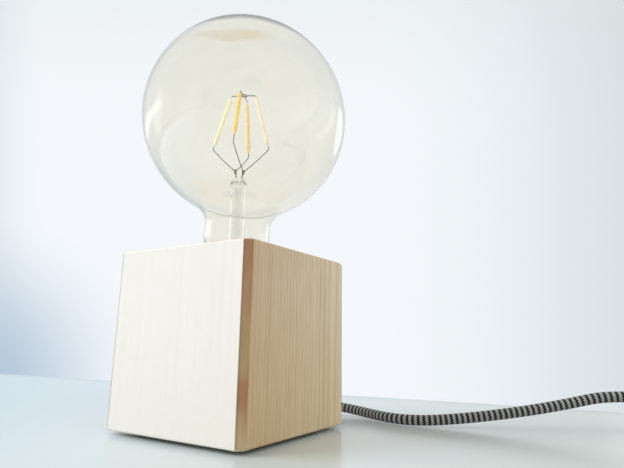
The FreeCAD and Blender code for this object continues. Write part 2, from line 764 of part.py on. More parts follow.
def makeSocket():
    nipple = less(
        "threaded_nipple",
        rod("nipple_rod", "size.nippleRadius", "size.nippleLow + size.webThickness + size.nippleHigh"),
        rod("nipple_way", "size.nippleBore", "size.nippleLow + size.webThickness + size.nippleHigh"),
    )
    keep(place(nipple, z=f"{webBottom} - size.nippleLow"), "threaded_nipple")

    hole = "(size.nippleRadius + size.fitGap)"
    washer = less(
        "nipple_washer",
        rod("washer_disc", "size.washerRadius", "size.washerThickness"),
        rod("washer_hole", hole, "size.washerThickness"),
    )
    keep(place(washer, z=f"{webBottom} - size.washerThickness"), "nipple_washer")
    hexagon = doc.addObject("Part::Prism", "nut_hexagon")
    hexagon.Polygon = 6
    hexagon.setExpression("Circumradius", "size.nutAcross / 2 / cos(30 deg)")
    hexagon.setExpression("Height", "size.nutThickness")
    nut = less("nipple_nut", hexagon, rod("nut_hole", hole, "size.nutThickness"))
    keep(place(nut, z=f"{webBottom} - size.washerThickness - size.nutThickness"), "nipple_nut")

    outer = "size.holderRadius"
    ledge = f"({carrierBottom} - {boreFloor})"
    top = f"({shellBottom} + size.domeLap - {boreFloor})"
    bossTop = "(size.nippleHigh + size.bossRise)"
    bossRadius = "(size.nippleRadius + size.bossWall)"
    ledgeRadius = f"({domeInner} - size.ledgeWidth)"
    corner = "size.domeCorner"
    dome = turned(
        "dome",
        (hole, "0"),
        [
            (f"{outer} - {corner}", "0"),
            (outer, corner, f"{outer} - {corner}", corner, "left"),
            (outer, top),
            (domeInner, top),
            (domeInner, ledge),
            (ledgeRadius, ledge),
            (ledgeRadius, "size.domeFloor"),
            (bossRadius, "size.domeFloor"),
            (bossRadius, bossTop),
            (hole, bossTop),
            (hole, "0"),
        ],
    )
    place(dome, z=boreFloor)
    grubLevel = f"{boreFloor} + (size.domeFloor + {bossTop}) / 2"
    reach = "size.bossWall + size.seatGap"
    wide = "size.grubRadius + size.pressGap"
    way = rod("grub_way", wide, reach, y="size.nippleRadius", z=grubLevel, axis="y")
    keep(less("holder_dome", dome, way), "holder_dome")
    start = "size.nippleRadius + size.seatGap"
    grub = rod("grub_screw", "size.grubRadius", "size.grubLength", y=start, z=grubLevel, axis="y")
    keep(grub, "grub_screw")
    makeCarrier()
    makeContacts()
    makeShell(top)


def makeCarrier():
    """The ceramic disc with its two rivets, the terminal blocks under it and their screws."""
    snug = f"({domeInner} - size.carrierGap)"
    ringOut = "size.shellRadius"
    ringIn = "(size.shellRadius - size.seatWidth)"
    flat = "size.carrierThickness"
    high = "size.carrierThickness + size.seatRing"
    disc = turned(
        "carrier",
        ("0", "0"),
        [
            (snug, "0"),
            (snug, flat),
            (ringOut, flat),
            (ringOut, high),
            (ringIn, high),
            (ringIn, flat),
            ("0", flat),
            ("0", "0"),
        ],
    )
    place(disc, z=carrierBottom)
    notchWidth = "(size.flankWidth + 2 * size.carrierGap)"
    notchStart = "size.shellRadius - 2 * size.seatWidth"
    sizes = ("3 * size.seatWidth", notchWidth, "size.seatRing")
    notch = box("strip_notch", *sizes, notchStart, f"-{notchWidth} / 2", carrierTop)
    rivetWays = []
    rivets = []
    blocks = []
    screws = []
    half = "size.terminalSide / 2"
    grip = "(size.coreRadius + size.seatGap)"
    head = "size.clampHead"
    level = f"{terminalBottom} + size.clampHeight"
    for label, side in (("live", 1), ("neutral", -1)):
        x = f"{side} * size.terminalOffset"
        rivetWays.append(rod(f"rivet_way_{label}", rivetHole, flat, x, z=carrierBottom))
        through = f"{flat} + size.stripThickness"
        shank = rod(f"rivet_shank_{label}", "size.rivetRadius", through, x, z=carrierBottom)
        seat = f"{carrierTop} + size.stripThickness"
        crown = rod(f"rivet_head_{label}", "size.rivetHead", "size.rivetCrown", x, z=seat)
        rivets.append(joined(f"rivet_{label}", shank, crown))
        sizes = ("size.terminalSide", "size.terminalSide", "size.terminalHeight")
        brass = box(f"block_{label}", *sizes, f"{x} - {half}", f"-{half}", terminalBottom)
        entry = rod(f"entry_{label}", grip, "size.coreGrip", x, z=terminalBottom)
        low = f"{x} - {half}" if side < 0 else x
        wayIn = rod(f"screw_way_{label}", "size.clampRadius + size.fitGap", half, low, z=level, axis="x")
        blocks.append(less(f"terminal_{label}", brass, entry, wayIn))
        outside = f"({half} + size.fitGap)"
        shaftLength = f"({outside} + size.fitGap - {grip})"
        shaftStart = f"{x} + {grip}" if side > 0 else f"{x} - {grip} - {shaftLength}"
        headStart = f"{x} + {outside}" if side > 0 else f"{x} - {outside} - {head}"
        shaft = rod(f"clamp_shaft_{label}", "size.clampRadius", shaftLength, shaftStart, z=level, axis="x")
        cap = rod(f"clamp_head_{label}", head, head, headStart, z=level, axis="x")
        screws.append(joined(f"clamp_{label}", shaft, cap))
    keep(less("contact_carrier", disc, notch, *rivetWays), "contact_carrier")
    keep(gathered("contact_rivets", rivets), "contact_rivets")
    keep(gathered("terminals", blocks), "terminals")
    keep(gathered("terminal_screws", screws), "terminal_screws")


def makeContacts():
    """The brass strips that touch the lamp's end and the screw shell."""
    thick = "size.stripThickness"
    rise = "(size.contactRise - size.springGap)"
    heel = "(size.terminalOffset + size.tongueFoot)"
    toe = "(size.terminalOffset - size.tongueFoot)"
    crest = f"({toe} - size.tongueSlope)"
    tongue = extruded(
        "tongue",
        (f"-{heel}", "0"),
        [
            (f"-{toe}", "0"),
            (f"-{crest}", f"{rise} - {thick}"),
            ("size.tongueTip", f"{rise} - {thick}"),
            ("size.tongueTip", rise),
            (f"-{crest} - {thick} / 2", rise),
            (f"-{toe} - {thick} / 2", thick),
            (f"-{heel}", thick),
            (f"-{heel}", "0"),
        ],
        "size.tongueWidth",
        "XZ_Plane",
        middle=True,
    )
    place(tongue, z=carrierTop)
    way = rod("tongue_way", rivetHole, thick, "-size.terminalOffset", z=carrierTop)
    keep(less("centre_contact", tongue, way), "centre_contact")

    inside = "(size.shellRadius + size.fitGap)"
    flank = extruded(
        "flank",
        (toe, "0"),
        [
            (f"{inside} + {thick}", "0"),
            (f"{inside} + {thick}", "size.flankRise"),
            (inside, "size.flankRise"),
            (inside, thick),
            (toe, thick),
            (toe, "0"),
        ],
        "size.flankWidth",
        "XZ_Plane",
        middle=True,
    )
    place(flank, z=carrierTop)
    way = rod("flank_way", rivetHole, thick, "size.terminalOffset", z=carrierTop)
    keep(less("side_contact", flank, way), "side_contact")


def addRidge(body, wall, crest, turns, start):
    """Add a thread ridge that climbs about Z on a turned wall, from inside the wall to its crest."""
    name = body.Name + "_ridge"
    flank = f"({wall} + ({crest} - {wall}) * 0.65)"
    foot = "(size.threadWidth / 2)"
    shoulder = "(size.threadWidth / 2 * 0.8)"
    flat = "(size.threadWidth / 2 * 0.38)"
    sketch = newSketch(body, name + "_outline", "XZ_Plane")
    steps = [
        (flank, f"{start} - {shoulder}"),
        (crest, f"{start} - {flat}"),
        (crest, f"{start} + {flat}"),
        (flank, f"{start} + {shoulder}"),
        (wall, f"{start} + {foot}"),
        (wall, f"{start} - {foot}"),
    ]
    drawOutline(sketch, (wall, f"{start} - {foot}"), steps)
    helix = body.newObject("PartDesign::AdditiveHelix", name)
    helix.Profile = sketch
    helix.ReferenceAxis = (sketch, ["V_Axis"])
    helix.Mode = 0
    helix.setExpression("Pitch", "size.threadPitch")
    helix.setExpression("Height", f"size.threadPitch * {turns}")


def makeShell(domeTop):
    """The brass screw shell, and the plastic body round it."""
    height = f"({holderTop} - size.lipThickness - size.seatGap - {shellBottom})"
    inner = "(size.shellRadius - size.shellWall)"
    steps = [("size.shellRadius", "0"), ("size.shellRadius", height), (inner, height), (inner, "0")]
    shell = turned("shell", (inner, "0"), steps)
    middle = "(size.shellRadius - size.shellWall / 2)"
    start = f"({tipLevel} + size.threadStart - size.threadLead * size.threadPitch - {shellBottom})"
    addRidge(shell, middle, f"({inner} - size.shellRidge)", "size.shellTurns", start)
    keep(place(shell, z=shellBottom), "screw_shell")

    outer = "size.holderRadius"
    base = f"({carrierTop} - {boreFloor})"
    roomy = "(size.shellRadius + size.flankRoom)"
    snug = "(size.shellRadius + size.carrierGap)"
    skin = f"{domeInner} - size.carrierGap"
    narrow = f"({base} + size.flankRise + size.flankRoom / 2)"
    lip = f"({holderTop} - size.lipThickness - {boreFloor})"
    rim = f"({holderTop} - {boreFloor})"
    soft = "size.rimRound"
    body = turned(
        "socket_body",
        (roomy, base),
        [
            (skin, base),
            (skin, domeTop),
            (outer, domeTop),
            (outer, f"{rim} - {soft}"),
            (f"{outer} - {soft}", rim, f"{outer} - {soft}", f"{rim} - {soft}", "left"),
            ("size.lipRadius", rim),
            ("size.lipRadius", lip),
            (snug, lip),
            (snug, narrow),
            (roomy, narrow),
            (roomy, base),
        ],
    )
    place(body, z=boreFloor)
    keep(body, "holder_body")


# ---- the lamp


def makeCap():
    tip = turned(
        "tip",
        ("0", "0"),
        [
            ("size.tipRadius - size.tipThickness", "0"),
            ("size.tipRadius", "size.tipThickness"),
            ("0", "size.tipThickness"),
            ("0", "0"),
        ],
    )
    keep(place(tip, z=tipLevel), "cap_contact")

    foot = "(size.tipThickness + size.fitGap)"
    fit = "(size.capRadius - size.capWall - size.fitGap)"
    hole = "size.insulatorHole"
    seat = "(size.insulatorHeight - size.insulatorSeat)"
    insulator = turned(
        "insulator",
        (hole, "0"),
        [
            (f"size.tipRadius + {hole}", "0"),
            (f"{fit} - size.capLip", seat),
            (fit, seat),
            (fit, "size.insulatorHeight"),
            (hole, "size.insulatorHeight"),
            (hole, "0"),
        ],
    )
    keep(place(insulator, z=f"{tipLevel} + {foot}"), "cap_insulator")

    low = f"({tipLevel} + {foot} + {seat} - size.capWall)"
    inner = "(size.capRadius - size.capWall)"
    lip = f"({inner} - size.capLip)"
    step = f"({capStep} - {low})"
    rim = f"({capRim} - {low})"
    skin = turned(
        "cap_skin",
        (lip, "0"),
        [
            ("size.capRadius", "0"),
            ("size.capRadius", f"{step} - size.skirtFlare"),
            ("size.skirtRadius", step),
            ("size.skirtRadius", rim),
            ("size.skirtRadius - size.capWall", rim),
            ("size.skirtRadius - size.capWall", step),
            (inner, step),
            (inner, "size.capWall"),
            (lip, "size.capWall"),
            (lip, "0"),
        ],
    )
    start = f"({tipLevel} + size.threadStart - {low})"
    middle = "(size.capRadius - size.capWall / 2)"
    addRidge(skin, middle, "(size.capRadius + size.capRidge)", "size.capTurns", start)
    keep(place(skin, z=low), "bulb_cap_shell")
    makeDriver(f"({tipLevel} + {foot} + size.insulatorHeight)")


def makeDriver(seat):
    """The small circuit board that stands in the cap, and the parts on it."""
    thick = "size.boardThickness"
    spread = "size.partSpread"
    sizes = ("size.boardWidth", thick, "size.boardHeight")
    keep(box("driver_board", *sizes, "-size.boardWidth / 2", f"-{thick} / 2", seat), "driver_board")
    canY = f"{thick} / 2 + size.canRadius"
    canFoot = f"{seat} + 2 * {thick}"
    can = rod("driver_capacitor", "size.canRadius", "size.canHeight", f"-{spread}", canY, canFoot)
    sizes = ("size.chipLength", "size.chipThickness", "size.chipHeight")
    chip = box("driver_bridge", *sizes, f"{spread} - {thick}", f"{thick} / 2", f"{seat} + 3 * {thick}")
    back = f"-{thick} / 2 - size.chokeLength"
    level = f"{seat} + 5 * {thick}"
    choke = rod("driver_choke", "size.chokeRadius", "size.chokeLength", spread, back, level, "y")
    keep(gathered("driver_parts", [can, chip, choke]), "driver_parts")


def makeGlass():
    outer = "size.globeRadius"
    inner = "(size.globeRadius - size.glassWall)"
    centre = f"({globeCentre} - {glassBottom})"
    neck = "size.neckRadius"
    blendU = blendRadius
    shareU = f"{blendRadius} / {blendReach}"
    shareV = f"{blendDrop} / {blendReach}"
    blendV = f"({neckTop} - {glassBottom})"
    low = "size.shoulderStart"
    high = "(size.shoulderStart + size.shoulderRise)"
    side = "(size.neckRadius - size.neckFoot)"
    bend = f"(({side} * {side} + size.shoulderRise * size.shoulderRise) / (4 * {side}))"
    midU = "((size.neckRadius + size.neckFoot) / 2)"
    midV = "(size.shoulderStart + size.shoulderRise / 2)"
    lowCentre = f"(size.neckFoot + {bend})"
    highCentre = f"({neck} - {bend})"
    leanU = f"(({highCentre} - {lowCentre}) / (2 * {bend}))"
    leanV = f"(size.shoulderRise / (2 * {bend}))"
    insideU = f"({midU} + size.glassWall * {leanU})"
    insideV = f"({midV} + size.glassWall * {leanV})"
    glass = turned(
        "glass",
        ("size.neckFoot", "0"),
        [
            ("size.neckFoot", low),
            (midU, midV, lowCentre, low, "right"),
            (neck, high, highCentre, high, "left"),
            (neck, blendV),
            (f"{outer} * {shareU}", f"{centre} - {outer} * {shareV}", blendU, blendV, "right"),
            ("0", f"{centre} + {outer}", "0", centre, "left"),
            ("0", f"{centre} + {inner}"),
            (f"{inner} * {shareU}", f"{centre} - {inner} * {shareV}", "0", centre, "right"),
            (f"{neck} - size.glassWall", blendV, blendU, blendV, "left"),
            (f"{neck} - size.glassWall", high),
            (insideU, insideV, highCentre, high, "right"),
            ("size.neckFoot - size.glassWall", low, lowCentre, low, "left"),
            ("size.neckFoot - size.glassWall", "0"),
            ("size.neckFoot", "0"),
        ],
    )
    heading = math.radians(num("size.leanHeading"))
    across = Vector(-math.sin(heading), math.cos(heading), 0)
    seat = Vector(0, 0, num(glassBottom))
    glass.Placement = FreeCAD.Placement(seat, Rotation(across, num("size.glassLean")))
    keep(glass, "bulb_glass")


def makeStem():
    rim = "size.neckFoot"
    root = "(size.neckFoot - size.footLedge)"
    tube = "size.stemRadius"
    wall = "size.glassWall"
    foot = "size.footThickness"
    flareTop = f"({foot} + size.stemFlare)"
    side = f"({root} - {tube})"
    bend = f"(({side} * {side} + size.stemFlare * size.stemFlare) / (2 * {side}))"
    centre = f"({tube} + {bend})"
    innerFoot = f"({centre} - sqrt(({bend} + {wall}) * ({bend} + {wall}) - {flareTop} * {flareTop}))"
    inner = f"({tube} - {wall})"
    crown = "(size.stemHeight - size.stemCrown)"
    crownIn = f"({tube} - size.stemCrown)"
    press = "(size.stemHeight - size.stemPress)"
    stem = turned(
        "stem",
        (innerFoot, "0"),
        [
            (rim, "0"),
            (rim, foot),
            (root, foot),
            (tube, flareTop, centre, flareTop, "right"),
            (tube, crown),
            (crownIn, "size.stemHeight", crownIn, crown, "left"),
            ("0", "size.stemHeight"),
            ("0", press),
            (inner, press),
            (inner, flareTop),
            (innerFoot, "0", centre, flareTop, "left"),
        ],
    )
    keep(place(stem, z=capStep), "glass_stem")
    bore = "(size.exhaustRadius - size.exhaustWall)"
    top = f"({press} + size.exhaustDrop)"
    exhaust = turned(
        "exhaust",
        ("0", "0"),
        [
            (bore, "0"),
            ("size.exhaustRadius", "2 * size.exhaustWall"),
            ("size.exhaustRadius", top),
            (bore, top),
            (bore, "3.5 * size.exhaustWall"),
            ("0", "2 * size.exhaustWall"),
            ("0", "0"),
        ],
    )
    keep(place(exhaust, z=f"{capStep} - size.exhaustDrop"), "exhaust_tube")


def pinAlong(first, last, radius):
    """A straight wire between two points."""
    way = last - first
    return Part.makeCylinder(radius, way.Length, first, way)


def makeLight():
    """The four light strips, the wires that carry them, and the ring that joins their upper ends."""
    turn = num("size.stripTurn")
    topLevel = num(f"{globeCentre} + size.stripRise")
    lowLevel = num(f"{globeCentre} - size.stripFall")
    knotLevel = num(f"{stemTop} + size.knotRise")
    wire = num("size.wireRadius")
    fit = num("size.fitGap")
    toward = math.radians(num("size.cageHeading"))
    lean = Rotation(Vector(-math.sin(toward), math.cos(toward), 0), num("size.cageLean"))
    pivot = Vector(0, 0, num(stemTop))

    def caged(reach, heading, level):
        """A point of the cage, which leans as a whole about the top of the stem."""
        return pivot + lean.multVec(roundAbout((0, 0), reach, heading, level) - pivot)

    hub = caged(0, 0, topLevel)
    rods = []
    lows = []
    for number in range(4):
        heading = turn + 90 * number
        top = caged(num("size.stripTopRing"), heading, topLevel)
        low = caged(num("size.stripLowRing" if number else "size.firstLowRing"), heading, lowLevel)
        way = top - low
        along = Vector(way).normalize()
        lows.append(low)
        rods.append(pinAlong(caged(num("size.hubRadius"), heading, topLevel), top, wire))
        full = f"({way.Length} - 2 * size.wireRadius - 2 * size.fitGap)"
        thick = "size.lightStripRadius"
        body = turned(
            f"strip_{number}",
            ("0", "0"),
            [
                ("size.wireRadius", "0"),
                ("size.wireRadius", "size.stripEnd"),
                (thick, "size.stripEnd + size.seatGap"),
                (thick, f"{full} - size.stripEnd - size.seatGap"),
                ("size.wireRadius", f"{full} - size.stripEnd"),
                ("size.wireRadius", full),
                ("0", full),
                ("0", "0"),
            ],
        )
        body.Placement = FreeCAD.Placement(low + along * (wire + fit), Rotation(Vector(0, 0, 1), way))
        keep(body, f"led_filament_{number + 1}")
    ring = Part.makeTorus(num("size.hubRadius"), num("size.hubWire"), hub, lean.multVec(Vector(0, 0, 1)))
    feature("filament_hub", ring.multiFuse(rods), "filament_hub")
    print(f"light strips: {way.Length:.1f} long between their wires")

    # each knot stands between the lower ends of its own two strips
    height = num("size.knotHeight")
    pairs = (("lead_wires_a", turn + 115, (0, 1)), ("lead_wires_b", turn - 65, (2, 3)))
    for label, heading, (first, second) in pairs:
        knot = caged(num("size.knotSpread"), heading, knotLevel)
        foot = roundAbout((0, 0), num("size.postSpread"), heading, num(f"{stemTop} + size.fitGap"))
        parts = [pinAlong(foot, knot, wire * 1.2)]
        sleeve = Part.makeCylinder(num("size.knotRadius"), height, knot - Vector(0, 0, height / 2))
        for low in (lows[first], lows[second]):
            parts.append(pinAlong(knot, low, wire))
            parts.append(Part.makeSphere(wire, low))
        feature(label, sleeve.multiFuse(parts), label)


# ---- switch


def onSwitch(thing):
    return place(thing, "size.coilX", "size.coilY", switchLevel, "size.switchHeading")


def makeSwitch():
    height = "size.switchHalf"
    depth = "(size.switchHalf - size.switchWall)"
    relief = "(size.cordDiameter / 2 + size.reliefWall)"
    posts = [("size.postX", "size.postY"), ("-size.postX", "-size.postY")]
    rooted = f"({depth} + size.switchWall / 2)"
    loose = "(size.caseScrew + 3 * size.fitGap)"

    shell = less("switch_low_shell", *switchShell("switch_low", relief, True))
    pillars = []
    holes = []
    for n, (x, y) in enumerate(posts):
        pillars.append(rod(f"low_post_{n}", "size.postRadius", rooted, x, y, f"-{rooted}"))
        holes.append(rod(f"low_hole_{n}", loose, height, x, y, f"-{height}"))
        wide = "size.caseHead + size.seatGap"
        sink = taper(f"low_sink_{n}", wide, loose, "size.caseSink", x, y, f"-{height}")
        holes.append(sink)
    keep(onSwitch(less("switch_base", joined("switch_low_all", shell, *pillars), *holes)), "switch_base")

    windowLength = "(size.rockerLength + 5 * size.rockerGap)"
    windowWidth = "(size.rockerWidth + 2 * size.rockerGap)"
    sizes = (windowLength, windowWidth, height)
    window = box("rocker_window", *sizes, f"-{windowLength} / 2", f"-{windowWidth} / 2", "0")
    shell = less("switch_high_shell", *switchShell("switch_high", relief, False), window)
    extras = []
    holes = []
    for n, (x, y) in enumerate(posts):
        extras.append(rod(f"high_post_{n}", "size.postRadius", rooted, x, y))
        holes.append(rod(f"high_hole_{n}", "size.caseScrew + size.fitGap", depth, x, y))
    inside = f"({windowWidth} / 2)"
    earLow = "(size.pivotHeight - size.axleRadius - 0.75 * size.earWall)"
    sizes = ("size.earLength", "size.earWall", f"{rooted} - {earLow}")
    for n, start in enumerate((inside, f"-{inside} - size.earWall")):
        extras.append(box(f"ear_{n}", *sizes, "-size.earLength / 2", start, earLow))
    axleWay = "size.axleRadius + size.axleClearance"
    start = f"-{inside} - size.earWall"
    length = f"2 * ({inside} + size.earWall)"
    holes.append(rod("axle_way", axleWay, length, y=start, z="size.pivotHeight", axis="y"))
    keep(onSwitch(less("switch_cover", joined("switch_high_all", shell, *extras), *holes)), "switch_cover")

    screws = []
    slotLength = "(1.4 * size.caseHead)"
    thin = "size.stripThickness"
    for n, (x, y) in enumerate(posts):
        head = taper(f"case_head_{n}", "size.caseHead", "size.caseScrew", "size.caseSink", x, y, f"-{height}")
        length = "size.switchHalf + size.caseHead"
        shank = rod(f"case_shank_{n}", "size.caseScrew", length, x, y, f"-{height} + size.caseSink")
        corner = (f"{x} - {slotLength} / 2", f"{y} - {thin} / 2", f"-{height}")
        slot = box(f"case_slot_{n}", slotLength, thin, thin, *corner)
        screws.append(less(f"case_screw_{n}", joined(f"case_body_{n}", head, shank), slot))
    keep(onSwitch(gathered("switch_screws", screws)), "switch_screws")
    makeRocker()
    makeSwitchInside(depth, relief)


def switchShell(name, relief, lower):
    """Half of the switch housing from the parting plane, its hollow, and the openings for the reliefs."""
    halfLength = "(size.switchLength / 2)"
    halfWidth = "(size.switchWidth / 2)"
    outline = roundedOutline(halfLength, halfWidth, "size.switchCorner")
    half = extruded(name, *outline, "size.switchHalf", reverse=lower)
    far = num("size.switchHalf") * (-1 if lower else 1)
    near = 0.01
    rim = name + "_edge"
    eased(half, "PartDesign::Fillet", rim, "Radius", "size.switchRound", lambda p: abs(p.z - far) < near)
    hollowLength = f"({halfLength} - size.switchWall)"
    hollowWidth = f"({halfWidth} - size.switchWall)"
    outline = roundedOutline(hollowLength, hollowWidth, "(size.switchCorner - size.switchWall)")
    hollow = extruded(name + "_hollow", *outline, "(size.switchHalf - size.switchWall)", reverse=lower)
    ends = rod(name + "_ends", f"{relief} + size.fitGap", "size.switchLength", f"-{halfLength}", axis="x")
    return half, hollow, ends


def makeRocker():
    """The dished rocker on its axle, tilted to one side, and the contact strip under it."""
    half = "(size.rockerLength / 2)"
    body = extruded(
        "rocker",
        (f"-{half}", "size.rockerEdge"),
        [
            ("-size.rockerFoot", "-size.rockerDepth"),
            ("size.rockerFoot", "-size.rockerDepth"),
            (half, "size.rockerEdge"),
            (half, "size.rockerRise"),
            (f"-{half}", "size.rockerRise", "0", "size.dishHeight", "right"),
            (f"-{half}", "size.rockerEdge"),
        ],
        "size.rockerWidth",
        "XZ_Plane",
        middle=True,
    )
    pin = "(size.rockerWidth / 2 + size.earWall)"
    axle = rod("rocker_axle", "size.axleRadius", f"2 * {pin}", y=f"-{pin}", axis="y")
    level = num(f"{switchLevel} + size.pivotHeight")
    spot = Vector(num("size.coilX"), num("size.coilY"), level)
    tilt = Rotation(Vector(0, 1, 0), num("size.rockerTilt"))
    turn = Rotation(Vector(0, 0, 1), num("size.switchHeading")) * tilt
    rocker = joined("switch_rocker", body, axle)
    rocker.Placement = FreeCAD.Placement(spot, turn)
    keep(rocker, "switch_rocker")

    bridge = doc.addObject("Part::Box", "switch_bridge")
    bridge.setExpression("Length", "size.bridgeLength")
    bridge.setExpression("Width", "size.bridgeWidth")
    bridge.setExpression("Height", "size.stripThickness")
    corner = Vector(
        -num("size.bridgeLength / 2"),
        num("size.rockerGap"),
        -num("size.rockerDepth + size.stripThickness"),
    )
    bridge.Placement = FreeCAD.Placement(spot + turn.multVec(corner), turn)
    keep(bridge, "switch_bridge")


def makeSwitchInside(depth, relief):
    """The fixed contacts, the cord ends, the wires and the two reliefs."""
    side = "size.contactSide"
    aside = "size.contactLow"
    high = f"{depth} + size.contactHigh"
    low = f"{depth} - size.contactLow"
    centre = box("centre_post", side, side, high, f"-{side} / 2", aside, f"-{depth}")
    outer = box("side_post", side, side, low, "size.rockerFoot", aside, f"-{depth}")
    keep(onSwitch(gathered("switch_contacts", [centre, outer])), "switch_contacts")

    inner = "(size.switchLength / 2 - size.jacketEnd)"
    far = "(size.switchLength / 2 + size.reliefLength)"
    stubs = [
        rod(f"stub_{n}", cordRadius, f"{far} - {inner}", x, axis="x")
        for n, x in enumerate((inner, f"-{far}"))
    ]
    keep(onSwitch(gathered("switch_cord_ends", stubs)), "switch_cord_ends")
    thick = "size.leadRadius"
    level = "-size.leadSpread"
    centreEdge = f"({side} / 2)"
    outerEdge = f"(size.rockerFoot + {side})"
    wires = [
        rod("through_wire", thick, f"2 * {inner}", f"-{inner}", level, level, "x"),
        rod("feed_wire", thick, f"{inner} - {centreEdge}", f"-{inner}", "size.leadSpread", level, "x"),
        rod("lamp_wire", thick, f"{inner} - {outerEdge}", outerEdge, "size.leadSpread", level, "x"),
    ]
    keep(onSwitch(gathered("switch_wires", wires)), "switch_wires")

    bore = f"({cordRadius} + size.seatGap)"
    base = num("size.switchLength / 2 - size.switchWall")
    spot = Vector(num("size.coilX"), num("size.coilY"), num(switchLevel))
    for label, turn in (("switch_relief_in", 180), ("switch_relief_out", 0)):
        sleeve = reliefSleeve(label + "_sleeve", bore, relief, "size.switchWall")
        heading = Rotation(Vector(0, 0, 1), num("size.switchHeading") + turn)
        start = spot + heading.multVec(Vector(base, 0, 0))
        sleeve.Placement = FreeCAD.Placement(start, heading * Rotation(Vector(0, 1, 0), 90))
        keep(sleeve, label)


def reliefSleeve(name, bore, root, inside):
    """A tapered sleeve with a collar inside the housing wall. It points along +Z."""
    reach = f"({inside} + size.reliefLength)"
    collar = f"({root} + size.collarRise)"
    wide = f"({root} + size.collarRise / 2)"
    return turned(
        name,
        (bore, "-size.collarLength"),
        [
            (collar, "-size.collarLength"),
            (collar, "-size.fitGap"),
            (root, "-size.fitGap"),
            (root, inside),
            (wide, inside),
            (f"{root} + size.collarRise / 4", f"{inside} + size.collarStep"),
            (f"{bore} + size.reliefTip", reach),
            (bore, reach),
            (bore, "-size.collarLength"),
        ],
    )


# ---- put-away coil


def coilCurve(turned):
    """Point and direction on the coil after a turning in radians. It winds clockwise, in and then out."""
    whole = math.radians(num("size.coilAngle"))
    step = num("size.coilStep") / (2 * math.pi)
    half = math.pi / 2
    offset = turned - whole / 2
    if abs(offset) < half:
        reach = num("size.coilInner") + step * (offset**2 / (2 * half) + half / 2)
        growth = step * offset / half
    else:
        reach = num("size.coilInner") + step * abs(offset)
        growth = math.copysign(step, offset)
    share = min(max((offset + half) / (2 * half), 0.0), 1.0)
    level = num(cordRadius) + num("size.layerStep") * share**2 * (3 - 2 * share)
    climb = num("size.layerStep") * 6 * share * (1 - share) / (2 * half)
    angle = math.radians(num("size.coilStart")) - turned
    point = Vector(
        num("size.coilX") + reach * math.cos(angle),
        num("size.coilY") + reach * math.sin(angle),
        level,
    )
    way = Vector(
        growth * math.cos(angle) + reach * math.sin(angle),
        growth * math.sin(angle) - reach * math.cos(angle),
        climb,
    )
    return point, way.normalize()


def biarc(first, out, last, into):
    """Two tangent arcs between two points with given directions."""
    gap = last - first
    a = 2 * (out.dot(into) - 1)
    b = -2 * gap.dot(out + into)
    c = gap.dot(gap)
    reach = (-b - math.sqrt(b * b - 4 * a * c)) / (2 * a)
    if reach < 0:
        reach = (-b + math.sqrt(b * b - 4 * a * c)) / (2 * a)
    meet = (first + out * reach + last - into * reach) * 0.5
    edges = []
    for begin, end, corner in ((first, meet, first + out * reach), (meet, last, last - into * reach)):
        radius = reach / math.tan((math.pi - (begin - corner).getAngle(end - corner)) / 2)
        arc = cornerArc(begin, corner, end, radius)
        edges.append(Part.Arc(begin, arc[1], end).toShape())
    return edges


def makeCoil():
    diameter = num("size.cordDiameter")
    whole = math.radians(num("size.coilAngle"))
    count = round(whole / (math.pi / 2))
    spots = [coilCurve(whole * index / count) for index in range(count + 1)]
    start = spots[0][0] - spots[0][1] * diameter
    end = spots[-1][0] + spots[-1][1] * diameter
    edges = [Part.LineSegment(start, spots[0][0]).toShape()]
    for (first, out), (last, into) in zip(spots, spots[1:]):
        edges += biarc(first, out, last, into)
    edges.append(Part.LineSegment(spots[-1][0], end).toShape())
    wire = Part.Wire(edges)
    solid, off = tubeAlong(wire, start, spots[0][1], diameter / 2)
    samples = [coilCurve(whole * index / 600)[0] for index in range(601)]
    # points nearer than half a turn along the cord belong to the same stretch
    apart = round(600 * math.pi / whole)
    gap = min(
        (samples[i] - samples[j]).Length - diameter
        for i in range(0, 601)
        for j in range(i + apart, 601)
    )
    print(f"cord_coil: length {wire.Length:.1f}, volume off by {off:.1e}, least gap to itself {gap:.2f}")
    feature("cord_coil", solid, "cord_coil")
    return (start, spots[0][1]), (end, spots[-1][1]), wire.Length


# ---- free stretches of the cord, and the plug


